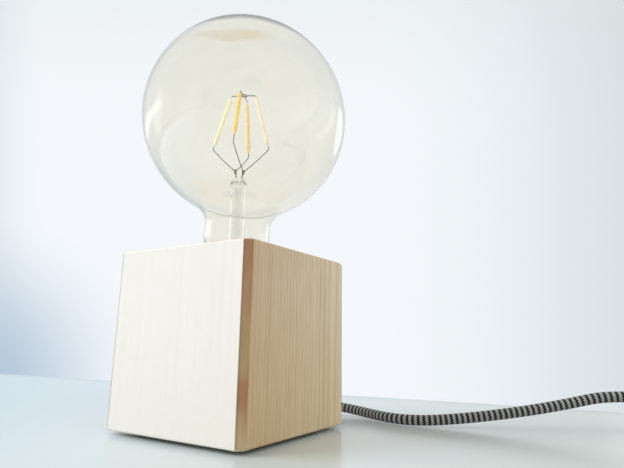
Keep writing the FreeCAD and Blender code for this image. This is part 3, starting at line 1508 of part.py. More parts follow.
def makeCords():
    radius = num(cordRadius)
    lengths = []
    level = num(switchLevel)
    centre = (num("size.coilX"), num("size.coilY"))
    heading = num("size.switchHeading")
    reach = num("size.switchLength / 2 + size.reliefLength")
    exit = num(f"{wallFace} + size.bushOutside")
    height = num("size.cordHeight")
    lampSide = [
        (0, exit, height),
        (0, exit + 11, height),
        (5.6, 77.4, 8.6),
        (18.2, 87.3, 6.3),
        (34.5, 89.6, 4.5),
        (50.5, 83.8, 3.6),
        (66.5, 76.7, 3.4),
        (84.0, 77.0, 3.4),
        (101.0, 84.9, 4.6),
        (122.0, 95.2, 7.4),
        (144.0, 105.8, 11.2),
        (164.0, 115.6, 15.6),
        tuple(roundAbout(centre, -(reach + 12.5), heading, level)),
        tuple(roundAbout(centre, -reach, heading, level)),
    ]
    solid, length = roundedTube("cord_lamp_side", lampSide, radius)
    feature("cord_lamp_side", solid, "cord_lamp_side")
    lengths.append(length)

    (coilIn, inward), (coilOut, outward), length = makeCoil()
    lengths.append(length)
    switchSide = [
        tuple(roundAbout(centre, reach, heading, level)),
        tuple(roundAbout(centre, reach + 13, heading, level)),
        (318.7, 152.7, 17.6),
        (331.8, 143.5, 12.6),
        (339.5, 128.9, 8.0),
        (339.8, 112.4, 4.9),
        (332.6, 97.6, 3.6),
        (319.0, 87.4, 3.4),
        (301.5, 83.3, 3.4),
        (279.5, 85.6, 3.3),
        tuple(coilIn - inward * 17),
        tuple(coilIn),
    ]
    solid, length = roundedTube("cord_switch_side", switchSide, radius)
    feature("cord_switch_side", solid, "cord_switch_side")
    lengths.append(length)

    plugLevel = num("size.plugThickness / 2")
    plugSpot = Vector(num("size.plugX"), num("size.plugY"), plugLevel)
    plugWay = roundAbout((0, 0), 1, num("size.plugHeading"), 0)
    plugSide = [
        tuple(coilOut),
        tuple(coilOut + outward * 13.5),
        (287.0, 105.5, 10.9),
        (285.5, 92.5, 12.6),
        (283.4, 77.5, 12.4),
        (281.8, 63.5, 8.9),
        tuple(plugSpot - plugWay * 13.5),
        tuple(plugSpot),
    ]
    solid, length = roundedTube("cord_plug_side", plugSide, radius)
    feature("cord_plug_side", solid, "cord_plug_side")
    lengths.append(length)
    print(f"free cord in all: {sum(lengths):.0f}")
    makePlug(plugSpot)


def makePlug(spot):
    """The flat plug from the start of its relief, with its pins and their sleeves."""
    heading = Rotation(Vector(0, 0, 1), num("size.plugHeading"))

    def onPlug(thing, upright=False):
        turn = heading if upright else heading * Rotation(Vector(0, 1, 0), 90)
        thing.Placement = FreeCAD.Placement(spot, turn)
        return thing

    bore = f"({cordRadius} + size.seatGap)"
    start = "size.reliefLength"
    half = "(size.plugWidth / 2)"
    waist = f"{start} + size.plugWaistAt"
    full = f"{start} + size.plugFullAt"
    face = "(size.reliefLength + size.plugLength)"
    body = extruded(
        "plug_form",
        (start, "-size.plugNeck"),
        [
            (waist, "-size.plugWaist"),
            (full, f"-{half}"),
            (face, f"-{half}"),
            (face, half),
            (full, half),
            (waist, "size.plugWaist"),
            (start, "size.plugNeck"),
            (start, "-size.plugNeck"),
        ],
        "size.plugThickness",
        middle=True,
    )
    thick = num("size.plugThickness / 2") - 0.01
    eased(body, "PartDesign::Fillet", "plug_edges", "Radius", "size.plugRound", lambda p: abs(p.z) > thick)
    ways = [rod("plug_cord_way", bore, "size.plugBore", start, axis="x")]
    pins = []
    sleeves = []
    core = "size.pinCore"
    snug = "(size.pinCore + size.pressGap)"
    hidden = "size.pinHidden"
    bare = "(size.pinLength - size.pinBare)"
    nose = "size.pinNose"
    tipEnd = f"{face} + size.pinLength - {nose}"
    for n, side in enumerate((1, -1)):
        y = f"{side} * size.pinSpacing / 2"
        ways.append(rod(f"pin_way_{n}", snug, hidden, f"{face} - {hidden}", y, axis="x"))
        shank = rod(f"pin_shank_{n}", core, f"{hidden} + {bare}", f"{face} - {hidden}", y, axis="x")
        tip = rod(f"pin_tip_{n}", "size.pinRadius", f"size.pinBare - {nose}", f"{face} + {bare}", y, axis="x")
        blunt = f"size.pinRadius - {nose} / 2"
        point = taper(f"pin_nose_{n}", "size.pinRadius", blunt, nose, tipEnd, y, axis="x")
        pins.append(joined(f"pin_{n}", shank, tip, point))
        skin = rod(f"sleeve_out_{n}", "size.sleeveRadius", bare, face, y, axis="x")
        hole = rod(f"sleeve_in_{n}", snug, bare, face, y, axis="x")
        sleeves.append(less(f"sleeve_{n}", skin, hole))
    keep(onPlug(less("plug_body", body, *ways), upright=True), "plug_body")
    keep(onPlug(gathered("plug_pins", pins), upright=True), "plug_pins")
    keep(onPlug(gathered("pin_sleeves", sleeves), upright=True), "pin_sleeves")
    stub = doc.addObject("Part::Cylinder", "plug_cord_end")
    stub.setExpression("Radius", cordRadius)
    stub.setExpression("Height", "size.reliefLength + size.plugBore - size.fitGap")
    keep(onPlug(stub), "plug_cord_end")
    sleeve = turned(
        "plug_relief",
        (f"{bore} + size.reliefTip", "0"),
        [
            (f"{bore} + size.reliefWall + size.collarRise * 2 / 3", "size.reliefLength"),
            (bore, "size.reliefLength"),
            (bore, "0"),
            (f"{bore} + size.reliefTip", "0"),
        ],
    )
    keep(onPlug(sleeve), "plug_relief")


makeBlock()
makeBase()
makeEntry()
makeSocket()
makeCap()
makeGlass()
makeStem()
makeLight()
makeSwitch()
makeCords()
doc.recompute()

for thing in doc.Objects:
    if "Invalid" in thing.State or "Error" in thing.State:
        raise RuntimeError(f"{thing.Name} failed: {thing.State}")
labels = [piece.Label for piece in pieces]
if len(set(labels)) != len(labels):
    raise RuntimeError("two sub-parts share a name")
for piece in pieces:
    if piece.Shape.isNull() or not piece.Shape.isValid():
        raise RuntimeError(f"{piece.Label} has no valid shape")
os.makedirs("parts", exist_ok=True)
for piece in pieces:
    piece.Shape.exportStep(f"parts/{piece.Label}.step")
print(f"{len(pieces)} sub-parts written")
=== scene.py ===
import math

import bmesh
import bpy
import numpy as np
from mathutils import Matrix, Vector


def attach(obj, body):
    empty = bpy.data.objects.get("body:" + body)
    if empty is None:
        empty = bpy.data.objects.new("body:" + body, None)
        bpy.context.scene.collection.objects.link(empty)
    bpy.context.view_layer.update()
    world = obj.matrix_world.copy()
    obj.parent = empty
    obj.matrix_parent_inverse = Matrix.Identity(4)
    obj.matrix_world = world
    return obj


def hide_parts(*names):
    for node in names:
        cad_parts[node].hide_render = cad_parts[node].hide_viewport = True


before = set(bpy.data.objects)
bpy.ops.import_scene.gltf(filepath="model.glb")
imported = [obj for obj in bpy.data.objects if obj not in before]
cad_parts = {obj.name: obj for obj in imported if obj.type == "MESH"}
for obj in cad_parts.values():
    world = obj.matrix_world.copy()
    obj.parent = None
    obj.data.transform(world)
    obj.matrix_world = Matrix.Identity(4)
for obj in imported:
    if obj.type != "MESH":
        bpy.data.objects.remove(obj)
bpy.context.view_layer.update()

mm = 0.001
print("stage: CAD model loaded")

cameraView = {
    "place": Vector((195.9, -225.3, 50.6)) * mm,
    "azimuth": math.radians(32.05),
    "pitch": math.radians(12.15),
    "roll": math.radians(0.85),
    "focal": 491,  # pixels
    "frame": 624,  # pixels across
    "sensor": 36,  # mm
}


def makeCamera():
    data = bpy.data.cameras.new("camera")
    camera = bpy.data.objects.new("camera", data)
    bpy.context.scene.collection.objects.link(camera)
    bpy.context.scene.camera = camera
    data.sensor_fit = "HORIZONTAL"
    data.sensor_width = cameraView["sensor"]
    data.lens = cameraView["sensor"] * cameraView["focal"] / cameraView["frame"]
    data.clip_start = 0.01
    data.clip_end = 50
    azimuth, pitch, roll = (cameraView[key] for key in ("azimuth", "pitch", "roll"))
    level = Vector((math.cos(azimuth), math.sin(azimuth), 0))
    ahead = Vector((-level.y * math.cos(pitch), level.x * math.cos(pitch), math.sin(pitch)))
    upright = level.cross(ahead)
    right = level * math.cos(roll) + upright * math.sin(roll)
    up = upright * math.cos(roll) - level * math.sin(roll)
    turn = Matrix((right, up, -ahead)).transposed().to_4x4()
    camera.matrix_world = Matrix.Translation(cameraView["place"]) @ turn


def addObject(name, mesh):
    item = bpy.data.objects.new(name, mesh)
    bpy.context.scene.collection.objects.link(item)
    return item


# A mesh object from points and faces, with UVs given for each face corner in order.
def meshFrom(name, points, faces, uvs=None, smooth=True):
    mesh = bpy.data.meshes.new(name)
    mesh.from_pydata([tuple(p) for p in points], [], faces)
    if uvs is not None:
        layer = mesh.uv_layers.new(name="UVMap")
        layer.data.foreach_set("uv", np.asarray(uvs, float).ravel())
    mesh.polygons.foreach_set("use_smooth", [smooth] * len(mesh.polygons))
    mesh.update()
    return addObject(name, mesh)


# Faces of a grid of points stored row by row.
def gridFaces(rows, columns, closeRows=False):
    faces = []
    for r in range(rows if closeRows else rows - 1):
        for c in range(columns):
            d = (c + 1) % columns
            e = (r + 1) % rows
            faces.append((r * columns + c, r * columns + d, e * columns + d, e * columns + c))
    return faces


# A turned piece. The profile is (radius, height) from outside bottom upwards and back down inside.
def lathe(name, profile, segments=96, closed=True, place=None):
    points = []
    for radius, height in profile:
        for k in range(segments):
            angle = 2 * math.pi * k / segments
            points.append(Vector((radius * math.cos(angle), radius * math.sin(angle), height)))
    faces = gridFaces(len(profile), segments, closeRows=closed)
    item = meshFrom(name, points, faces)
    weld(item)
    if place is not None:
        item.data.transform(place)
    return item


# Join points that lie on each other and face everything outwards.
def weld(item, reach=1e-6):
    form = bmesh.new()
    form.from_mesh(item.data)
    bmesh.ops.remove_doubles(form, verts=form.verts, dist=reach)
    bmesh.ops.dissolve_degenerate(form, edges=form.edges, dist=reach)
    bmesh.ops.recalc_face_normals(form, faces=form.faces)
    form.to_mesh(item.data)
    form.free()


# Points (radius, height) on an arc of a profile, angles in degrees.
def arcPoints(centre, radius, first, last, count):
    out = []
    for k in range(count + 1):
        angle = math.radians(first + (last - first) * k / count)
        out.append((centre[0] + radius * math.cos(angle), centre[1] + radius * math.sin(angle)))
    return out


# Point, side and up at each point of a path, with no twist.
def framesAlong(path):
    path = [Vector(p) for p in path]
    ways = []
    for k in range(len(path)):
        ways.append((path[min(k + 1, len(path) - 1)] - path[max(k - 1, 0)]).normalized())
    side = ways[0].cross(Vector((0, 0, 1)))
    if side.length < 0.1:
        side = ways[0].cross(Vector((1, 0, 0)))
    side.normalize()
    frames = []
    for point, way in zip(path, ways):
        side = (side - way * side.dot(way)).normalized()
        frames.append((point, side, way.cross(side), way))
    return frames


# The same path with even steps.
def resample(path, step):
    path = np.array([tuple(p) for p in path])
    lengths = np.concatenate([[0], np.cumsum(np.linalg.norm(np.diff(path, axis=0), axis=1))])
    count = max(2, round(lengths[-1] / step))
    marks = np.linspace(0, lengths[-1], count + 1)
    return [Vector(tuple(np.interp(m, lengths, path[:, a]) for a in range(3))) for m in marks], marks


# A plain round tube along a path, closed at both ends.
def tube(name, path, radius, around):
    frames = framesAlong(path)
    points = []
    for point, side, up, way in frames:
        for c in range(around):
            angle = 2 * math.pi * c / around
            points.append(point + (side * math.cos(angle) + up * math.sin(angle)) * radius)
    faces = gridFaces(len(frames), around)
    faces.append(tuple(reversed(range(around))))
    faces.append(tuple(range((len(frames) - 1) * around, len(frames) * around)))
    item = meshFrom(name, points, faces)
    weld(item)
    return item


# Several mesh objects as one.
def joinPieces(name, items):
    form = bmesh.new()
    for item in items:
        part = item.data.copy()
        part.transform(item.matrix_world)
        form.from_mesh(part)
        bpy.data.meshes.remove(part)
    mesh = bpy.data.meshes.new(name)
    form.to_mesh(mesh)
    form.free()
    for item in items:
        bpy.data.objects.remove(item)
    mesh.polygons.foreach_set("use_smooth", [True] * len(mesh.polygons))
    return addObject(name, mesh)


# Give a piece, or a CAD node, its only material.
def dress(item, material):
    item.data.materials.clear()
    item.data.materials.append(material)
    return item


cordSize = {
    "diameter": 6.2 * mm,
    "cell": 1.6 * mm,  # one crossing of the braid
    "strands": 12,
    "relief": 0.35 * mm,
    "firstCell": 40,  # keeps the count of the cells above zero
}
switchPlace = {
    "centre": Vector((243, 138.5, 20.7)) * mm,
    "heading": math.radians(15),
    "half": 30 * mm,
    "relief": 20 * mm,
}
plugPlace = {"start": Vector((279.0, 36.0, 6.85)) * mm, "heading": math.radians(-95)}
coilSize = {
    "centre": Vector((243, 138.5, 0)) * mm,
    "inner": 25 * mm,
    "step": 6.9 * mm,
    "layer": 6.8 * mm,
    "start": math.radians(-100),
    "angle": math.radians(2060),
    "low": 3.1 * mm,
    "turnPoints": 16,
}


# The cord's own smooth line, read from a NURBS curve with these control points.
def nurbsLine(name, points):
    curve = bpy.data.curves.new(name, "CURVE")
    curve.dimensions = "3D"
    curve.resolution_u = 12
    spline = curve.splines.new("NURBS")
    spline.points.add(len(points) - 1)
    for target, point in zip(spline.points, points):
        target.co = (*point, 1)
    spline.order_u = 3
    spline.use_endpoint_u = True
    item = bpy.data.objects.new(name, curve)
    bpy.context.scene.collection.objects.link(item)
    bpy.context.view_layer.update()
    mesh = bpy.data.meshes.new_from_object(item)
    line = [v.co.copy() for v in mesh.vertices]
    bpy.data.meshes.remove(mesh)
    bpy.data.objects.remove(item)
    return line


# How high the braid stands at u cells along and v strands round, from 0 to 1.
def braidHeight(u, v):
    a, b = u + v, u - v
    fa, fb = a - np.floor(a), b - np.floor(b)
    over = (np.floor(a) + np.floor(b)) % 2 < 0.5
    across = np.where(over, fa, fb)
    along = np.where(over, fb, fa)
    return np.sqrt(np.sin(np.pi * across)) * (0.55 + 0.45 * np.sin(np.pi * along))


# A braided tube. Its UVs count braid cells along and strands round, for the material.
def braidedTube(name, line, perCell, perStrand, relief):
    path, marks = resample(line, cordSize["cell"] / perCell)
    frames = framesAlong(path)
    around = round(cordSize["strands"] * perStrand)
    base = cordSize["diameter"] / 2
    points = np.zeros((len(frames), around, 3))
    turn = np.arange(around) * 2 * math.pi / around
    for k, (point, side, up, way) in enumerate(frames):
        u = marks[k] / cordSize["cell"] + cordSize["firstCell"]
        v = np.arange(around) / around * cordSize["strands"]
        reach = base - relief + relief * braidHeight(u, v)
        ring = np.outer(np.cos(turn), side) + np.outer(np.sin(turn), up)
        points[k] = np.array(point) + ring * reach[:, None]
    faces = gridFaces(len(frames), around)
    uvs = []
    for k in range(len(frames) - 1):
        u0, u1 = (marks[m] / cordSize["cell"] + cordSize["firstCell"] for m in (k, k + 1))
        for c in range(around):
            v0, v1 = c / around * cordSize["strands"], (c + 1) / around * cordSize["strands"]
            uvs += [(u0, v0), (u0, v1), (u1, v1), (u1, v0)]
    return meshFrom(name, points.reshape(-1, 3), faces, uvs)


def alongSwitch(reach):
    way = Vector((math.cos(switchPlace["heading"]), math.sin(switchPlace["heading"]), 0))
    return switchPlace["centre"] + way * reach


# Point on the coil after a turning, clockwise, in along the lower layer and out along the upper.
def coilPoint(turned):
    whole = coilSize["angle"]
    step = coilSize["step"] / (2 * math.pi)
    half = math.pi / 2
    offset = turned - whole / 2
    if abs(offset) < half:
        reach = coilSize["inner"] + step * (offset**2 / (2 * half) + half / 2)
    else:
        reach = coilSize["inner"] + step * abs(offset)
    share = min(max((offset + half) / (2 * half), 0), 1)
    level = coilSize["low"] + coilSize["layer"] * share**2 * (3 - 2 * share)
    angle = coilSize["start"] - turned
    return coilSize["centre"] + Vector((reach * math.cos(angle), reach * math.sin(angle), level))


lampSidePoints = [
    (0, 52.5, 10),
    (0, 63.5, 10),
    (5.6, 77.4, 8.6),
    (18.2, 87.3, 6.3),
    (34.5, 89.6, 4.5),
    (50.5, 83.8, 3.6),
    (66.5, 76.7, 3.4),
    (84.0, 77.0, 3.4),
    (101.0, 84.9, 4.6),
    (122.0, 95.2, 7.4),
    (144.0, 105.8, 11.2),
    (164.0, 115.6, 15.6),
]
switchSidePoints = [
    (318.7, 152.7, 17.6),
    (331.8, 143.5, 12.6),
    (339.5, 128.9, 8.0),
    (339.8, 112.4, 4.9),
    (332.6, 97.6, 3.6),
    (319.0, 87.4, 3.4),
    (301.5, 83.3, 3.4),
    (279.5, 85.6, 3.3),
]
plugSidePoints = [
    (287.0, 105.5, 10.9),
    (285.5, 92.5, 12.6),
    (283.4, 77.5, 12.4),
    (281.8, 63.5, 8.9),
]


def makeCords(braid):
    reach = switchPlace["half"] + switchPlace["relief"]
    near = [Vector(p) * mm for p in lampSidePoints] + [alongSwitch(-reach - 12.5 * mm), alongSwitch(-reach)]
    line = nurbsLine("cordLampSideLine", near)
    lampSide = braidedTube("cordLampSide", line, 5, 6, cordSize["relief"])
    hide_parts("cord_lamp_side")

    count = round(coilSize["angle"] / (2 * math.pi) * coilSize["turnPoints"])
    outward = 2 / (1 + math.cos(math.pi / coilSize["turnPoints"]))  # the smooth line cuts the corners
    coil = []
    for k in range(count + 1):
        point = coilPoint(coilSize["angle"] * k / count)
        flat = Vector((point.x, point.y, 0)) - coilSize["centre"]
        coil.append(coilSize["centre"] + flat * outward + Vector((0, 0, point.z)))
    first = (coilPoint(0.0) - coilPoint(0.02)).normalized()
    last = (coilPoint(coilSize["angle"]) - coilPoint(coilSize["angle"] - 0.02)).normalized()
    plugWay = Vector((math.cos(plugPlace["heading"]), math.sin(plugPlace["heading"]), 0))
    far = [alongSwitch(reach), alongSwitch(reach + 13 * mm)]
    far += [Vector(p) * mm for p in switchSidePoints]
    far += [coilPoint(0.0) + first * 23 * mm]
    far += coil
    far += [coilPoint(coilSize["angle"]) + last * 19.7 * mm]
    far += [Vector(p) * mm for p in plugSidePoints]
    far += [plugPlace["start"] - plugWay * 13.5 * mm, plugPlace["start"]]
    line = nurbsLine("cordPlugSideLine", far)
    plugSide = braidedTube("cordPlugSide", line, 2.5, 2, 0)
    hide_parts("cord_switch_side", "cord_coil", "cord_plug_side")
    for piece in (lampSide, plugSide):
        dress(piece, braid)
        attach(piece, "lamp")


# Short calls that add shader nodes and link them.
class Nodes:
    def __init__(self, name):
        self.material = bpy.data.materials.new(name)
        self.material.use_nodes = True
        self.tree = self.material.node_tree
        self.tree.nodes.clear()
        self.output = self.tree.nodes.new("ShaderNodeOutputMaterial")

    def put(self, socket, value):
        if isinstance(value, bpy.types.NodeSocket):
            self.tree.links.new(value, socket)
        elif isinstance(value, (tuple, list)) and socket.type == "RGBA" and len(value) == 3:
            socket.default_value = (*value, 1)
        else:
            socket.default_value = value

    def add(self, kind, result=0, settings=None, **inputs):
        node = self.tree.nodes.new("ShaderNode" + kind)
        for key, value in (settings or {}).items():
            setattr(node, key, value)
        for key, value in inputs.items():
            name = key.replace("_", " ")
            socket = node.inputs[int(key[1:])] if key[1:].isdigit() else node.inputs[name]
            self.put(socket, value)
        return node.outputs[result]

    def math(self, operation, *values):
        node = self.tree.nodes.new("ShaderNodeMath")
        node.operation = operation
        for socket, value in zip(node.inputs, values):
            self.put(socket, value)
        return node.outputs[0]

    # Map a value's range to another, held at its ends.
    def span(self, value, low, high, first=0.0, last=1.0, smooth=True):
        node = self.tree.nodes.new("ShaderNodeMapRange")
        node.interpolation_type = "SMOOTHSTEP" if smooth else "LINEAR"
        for index, number in enumerate((value, low, high, first, last)):
            self.put(node.inputs[index], number)
        return node.outputs[0]

    def mix(self, factor, first, second, blend="MIX"):
        node = self.tree.nodes.new("ShaderNodeMix")
        node.data_type = "RGBA"
        node.blend_type = blend
        self.put(node.inputs[0], factor)
        self.put(node.inputs[6], first)
        self.put(node.inputs[7], second)
        return node.outputs[2]

    def place(self):
        return self.add("TexCoord", "Object")

    def parts(self, vector):
        node = self.tree.nodes.new("ShaderNodeSeparateXYZ")
        self.put(node.inputs[0], vector)
        return node.outputs[0], node.outputs[1], node.outputs[2]

    def scaled(self, vector, x, y, z, offset=(0, 0, 0)):
        node = self.tree.nodes.new("ShaderNodeMapping")
        self.put(node.inputs[0], vector)
        node.inputs["Location"].default_value = offset
        node.inputs["Scale"].default_value = (x, y, z)
        return node.outputs[0]

    def noise(self, vector, scale, detail=2.0, rough=0.5, colour=False):
        node = self.tree.nodes.new("ShaderNodeTexNoise")
        self.put(node.inputs["Vector"], vector)
        node.inputs["Scale"].default_value = scale
        node.inputs["Detail"].default_value = detail
        node.inputs["Roughness"].default_value = rough
        return node.outputs[1 if colour else 0]

    def bump(self, height, strength, distance):
        return self.add("Bump", Height=height, Strength=strength, Distance=distance)

    def surface(self, normal=None, **inputs):
        node = self.tree.nodes.new("ShaderNodeBsdfPrincipled")
        if normal is not None:
            inputs["Normal"] = normal
        for key, value in inputs.items():
            self.put(node.inputs[key.replace("_", " ")], value)
        self.tree.links.new(node.outputs[0], self.output.inputs[0])
        return node.outputs[0]


# A colour given by its 8-bit values.
def srgb(r, g, b):
    shares = (c / 255 for c in (r, g, b))
    return tuple(c / 12.92 if c < 0.04045 else ((c + 0.055) / 1.055) ** 2.4 for c in shares)


woodBlock = {"x": 2.1 * mm, "half": 47.5 * mm, "chamfer": 3.2 * mm, "ringWidth": 1.25 * mm}
woodColours = {
    "dark": (226, 209, 178),
    "light": (236, 221, 193),
    "late": (196, 165, 122),
    "fibre": (188, 160, 120),
    "broad": (240, 226, 200),
    "mottle": (178, 152, 116),
    "litFaceLow": (238, 231, 225),
    "litFaceHigh": (243, 236, 233),
    "litFaceStreak": (236, 229, 219),
    "chamfer": (181, 150, 108),
    "chamferDark": (176, 131, 94),
    "chamferTop": (172, 118, 82),
    "paleFoot": (206, 184, 148),
    "chamferBand": (172, 112, 74),
    "speck": (160, 122, 88),
    "ends": (205, 176, 132),
}


def pineMaterial():
    n = Nodes("pine")
    tone = {name: srgb(*values) for name, values in woodColours.items()}
    place = n.place()
    wobble = n.noise(n.scaled(place, 14, 14, 3), 1, 3, 0.5, colour=True)
    x, y, z = n.parts(place)
    wx, wy = n.parts(wobble)[:2]
    # year rings about a pith outside the block, a little out of round
    dx = n.math("ADD", n.math("ADD", x, 0.150), n.math("MULTIPLY", n.math("SUBTRACT", wx, 0.5), 0.006))
    dy = n.math("ADD", n.math("SUBTRACT", y, 0.072), n.math("MULTIPLY", n.math("SUBTRACT", wy, 0.5), 0.006))
    far = n.math("SQRT", n.math("ADD", n.math("MULTIPLY", dx, dx), n.math("MULTIPLY", dy, dy)))
    phase = n.math("DIVIDE", far, woodBlock["ringWidth"])
    ring = n.math("FRACT", phase)
    late = n.math("MULTIPLY", n.span(ring, 0.45, 0.92), n.span(ring, 0.93, 1.0, 1.0, 0.0))
    # each year's band differs from the next
    year = n.add("TexWhiteNoise", 0, {"noise_dimensions": "1D"}, W=n.math("FLOOR", phase))
    late = n.math("MULTIPLY", late, n.span(year, 0.0, 1.0, 0.35, 1.0, smooth=False))
    fibre = n.noise(n.scaled(place, 1500, 1500, 22), 1, 2, 0.6)
    streak = n.noise(n.scaled(place, 320, 320, 6), 1, 3, 0.55)
    broad = n.noise(n.scaled(place, 30, 30, 5), 1, 2, 0.5)
    base = n.mix(n.span(streak, 0.3, 0.7), tone["dark"], tone["light"])
    base = n.mix(n.math("MULTIPLY", late, 0.55), base, tone["late"])
    base = n.mix(n.math("MULTIPLY", n.span(fibre, 0.45, 0.75), 0.22), base, tone["fibre"])
    base = n.mix(n.math("MULTIPLY", n.span(broad, 0.4, 0.7), 0.25), base, tone["broad"])
    mottle = n.noise(n.scaled(place, 420, 420, 60), 1, 3, 0.6)
    base = n.mix(n.math("MULTIPLY", n.span(mottle, 0.35, 0.75), 0.16), base, tone["mottle"])
    fromMiddle = n.math("SUBTRACT", x, woodBlock["x"])
    # painted shade and light on the right-hand face: darker and warmer towards the front corner and towards
    # the foot, lighter towards the back
    right = n.span(fromMiddle, 0.0468, 0.0474)
    paintedShade = n.mix(n.span(y, -0.047, 0.045, smooth=False), (0.88, 0.765, 0.66), (1.14, 1.13, 1.12))
    foot = n.mix(n.span(z, 0.010, 0.085), (0.96, 0.93, 0.84), (1.0, 1.0, 1.03))
    base = n.mix(right, base, n.mix(1.0, n.mix(1.0, base, paintedShade, "MULTIPLY"), foot, "MULTIPLY"))
    # painted light: the left-hand face is drawn much paler, almost white, and lighter towards the top, with
    # the grain's streaks kept
    pale = n.span(y, -0.0450, -0.0474)
    paintedLitFace = n.mix(n.span(z, 0.005, 0.060), tone["litFaceLow"], tone["litFaceHigh"])
    paintedLitFace = n.mix(n.math("MULTIPLY", n.span(streak, 0.35, 0.65), 0.5), paintedLitFace, tone["litFaceStreak"])
    base = n.mix(n.math("MULTIPLY", pale, 0.84), base, paintedLitFace)
    # the upright chamfers are darker and browner, darkest along the arris of the left-hand face
    reach = n.math("ADD", n.math("ABSOLUTE", fromMiddle), n.math("ABSOLUTE", y))
    limit = 2 * woodBlock["half"] - woodBlock["chamfer"]
    chamfer = n.span(reach, limit - 0.0006, limit - 0.0001)
    chamferNoise = n.noise(n.scaled(place, 60, 60, 28), 1, 2, 0.6)
    brown = n.mix(n.span(chamferNoise, 0.40, 0.65), tone["chamfer"], tone["chamferDark"])
    brown = n.mix(n.math("MULTIPLY", n.span(z, 0.078, 0.088), 0.75), brown, tone["chamferTop"])
    brown = n.mix(n.math("MULTIPLY", n.span(z, 0.020, 0.004), 0.7), brown, tone["paleFoot"])
    chamferBand = n.math("MULTIPLY", n.span(z, 0.017, 0.023), n.span(z, 0.036, 0.030))
    brown = n.mix(n.math("MULTIPLY", chamferBand, 0.8), brown, tone["chamferBand"])
    across = n.math("ADD", fromMiddle, y)
    edge = n.mix(n.span(across, -0.0034, -0.0010), (0.74, 0.70, 0.66), (1.04, 1.04, 1.04))
    brown = n.mix(1.0, brown, edge, "MULTIPLY")
    brown = n.mix(n.math("MULTIPLY", n.span(mottle, 0.35, 0.75), 0.3), brown, tone["speck"])
    base = n.mix(n.math("MULTIPLY", chamfer, 0.95), base, brown)
    # end grain on the top and the bottom is a little darker
    ends = n.span(n.math("ABSOLUTE", n.math("SUBTRACT", z, 0.05)), 0.0476, 0.0481)
    base = n.mix(n.math("MULTIPLY", ends, 0.35), base, tone["ends"])
    pores = n.noise(n.scaled(place, 2200, 2200, 60), 1, 1, 0.5)
    height = n.math("ADD", n.math("MULTIPLY", fibre, 0.6), n.math("MULTIPLY", late, 0.5))
    height = n.math("ADD", height, n.math("MULTIPLY", pores, 0.25))
    normal = n.bump(height, 0.5, 0.00018)
    rough = n.span(streak, 0.2, 0.8, 0.62, 0.78)
    n.surface(normal, Base_Color=base, Roughness=rough, Specular_IOR_Level=0.35)
    return n.material


def braidMaterial():
    n = Nodes("braid")
    u, v = n.parts(n.add("TexCoord", "UV"))[:2]
    a, b = n.math("ADD", u, v), n.math("SUBTRACT", u, v)
    i, j = n.math("FLOOR", a), n.math("FLOOR", b)
    fa, fb = n.math("FRACT", a), n.math("FRACT", b)
    row = n.math("ADD", n.math("ADD", i, j), 4000)
    over = n.math("LESS_THAN", n.math("MODULO", row, 2), 0.5)
    across = n.math("ADD", n.math("MULTIPLY", over, fa), n.math("MULTIPLY", n.math("SUBTRACT", 1, over), fb))
    along = n.math("ADD", n.math("MULTIPLY", over, fb), n.math("MULTIPLY", n.math("SUBTRACT", 1, over), fa))
    ridge = n.math("SQRT", n.math("SINE", n.math("MULTIPLY", across, math.pi)))
    rise = n.math("ADD", n.math("MULTIPLY", n.math("SINE", n.math("MULTIPLY", along, math.pi)), 0.45), 0.55)
    height = n.math("MULTIPLY", ridge, rise)
    # yarns inside one strand
    yarn = n.math("SINE", n.math("MULTIPLY", across, math.pi * 7))
    fuzz = n.noise(n.place(), 2600, 2, 0.6)
    pale = n.math("GREATER_THAN", n.math("MODULO", row, 4), 1.5)
    dark = n.mix(fuzz, srgb(16, 17, 22), srgb(44, 46, 52))
    light = n.mix(fuzz, srgb(150, 150, 150), srgb(205, 204, 200))
    colour = n.mix(pale, dark, light)
    # painted shade: the grooves between the strands are darkened towards black
    colour = n.mix(n.span(height, 0.0, 0.55, 0.75, 0.0), colour, srgb(14, 14, 17))
    height = n.math("ADD", height, n.math("MULTIPLY", yarn, 0.06))
    height = n.math("ADD", height, n.math("MULTIPLY", fuzz, 0.15))
    normal = n.bump(height, 0.8, 0.0003)
    n.surface(normal, Base_Color=colour, Roughness=0.85, Sheen_Weight=0.25, Specular_IOR_Level=0.2)
    return n.material


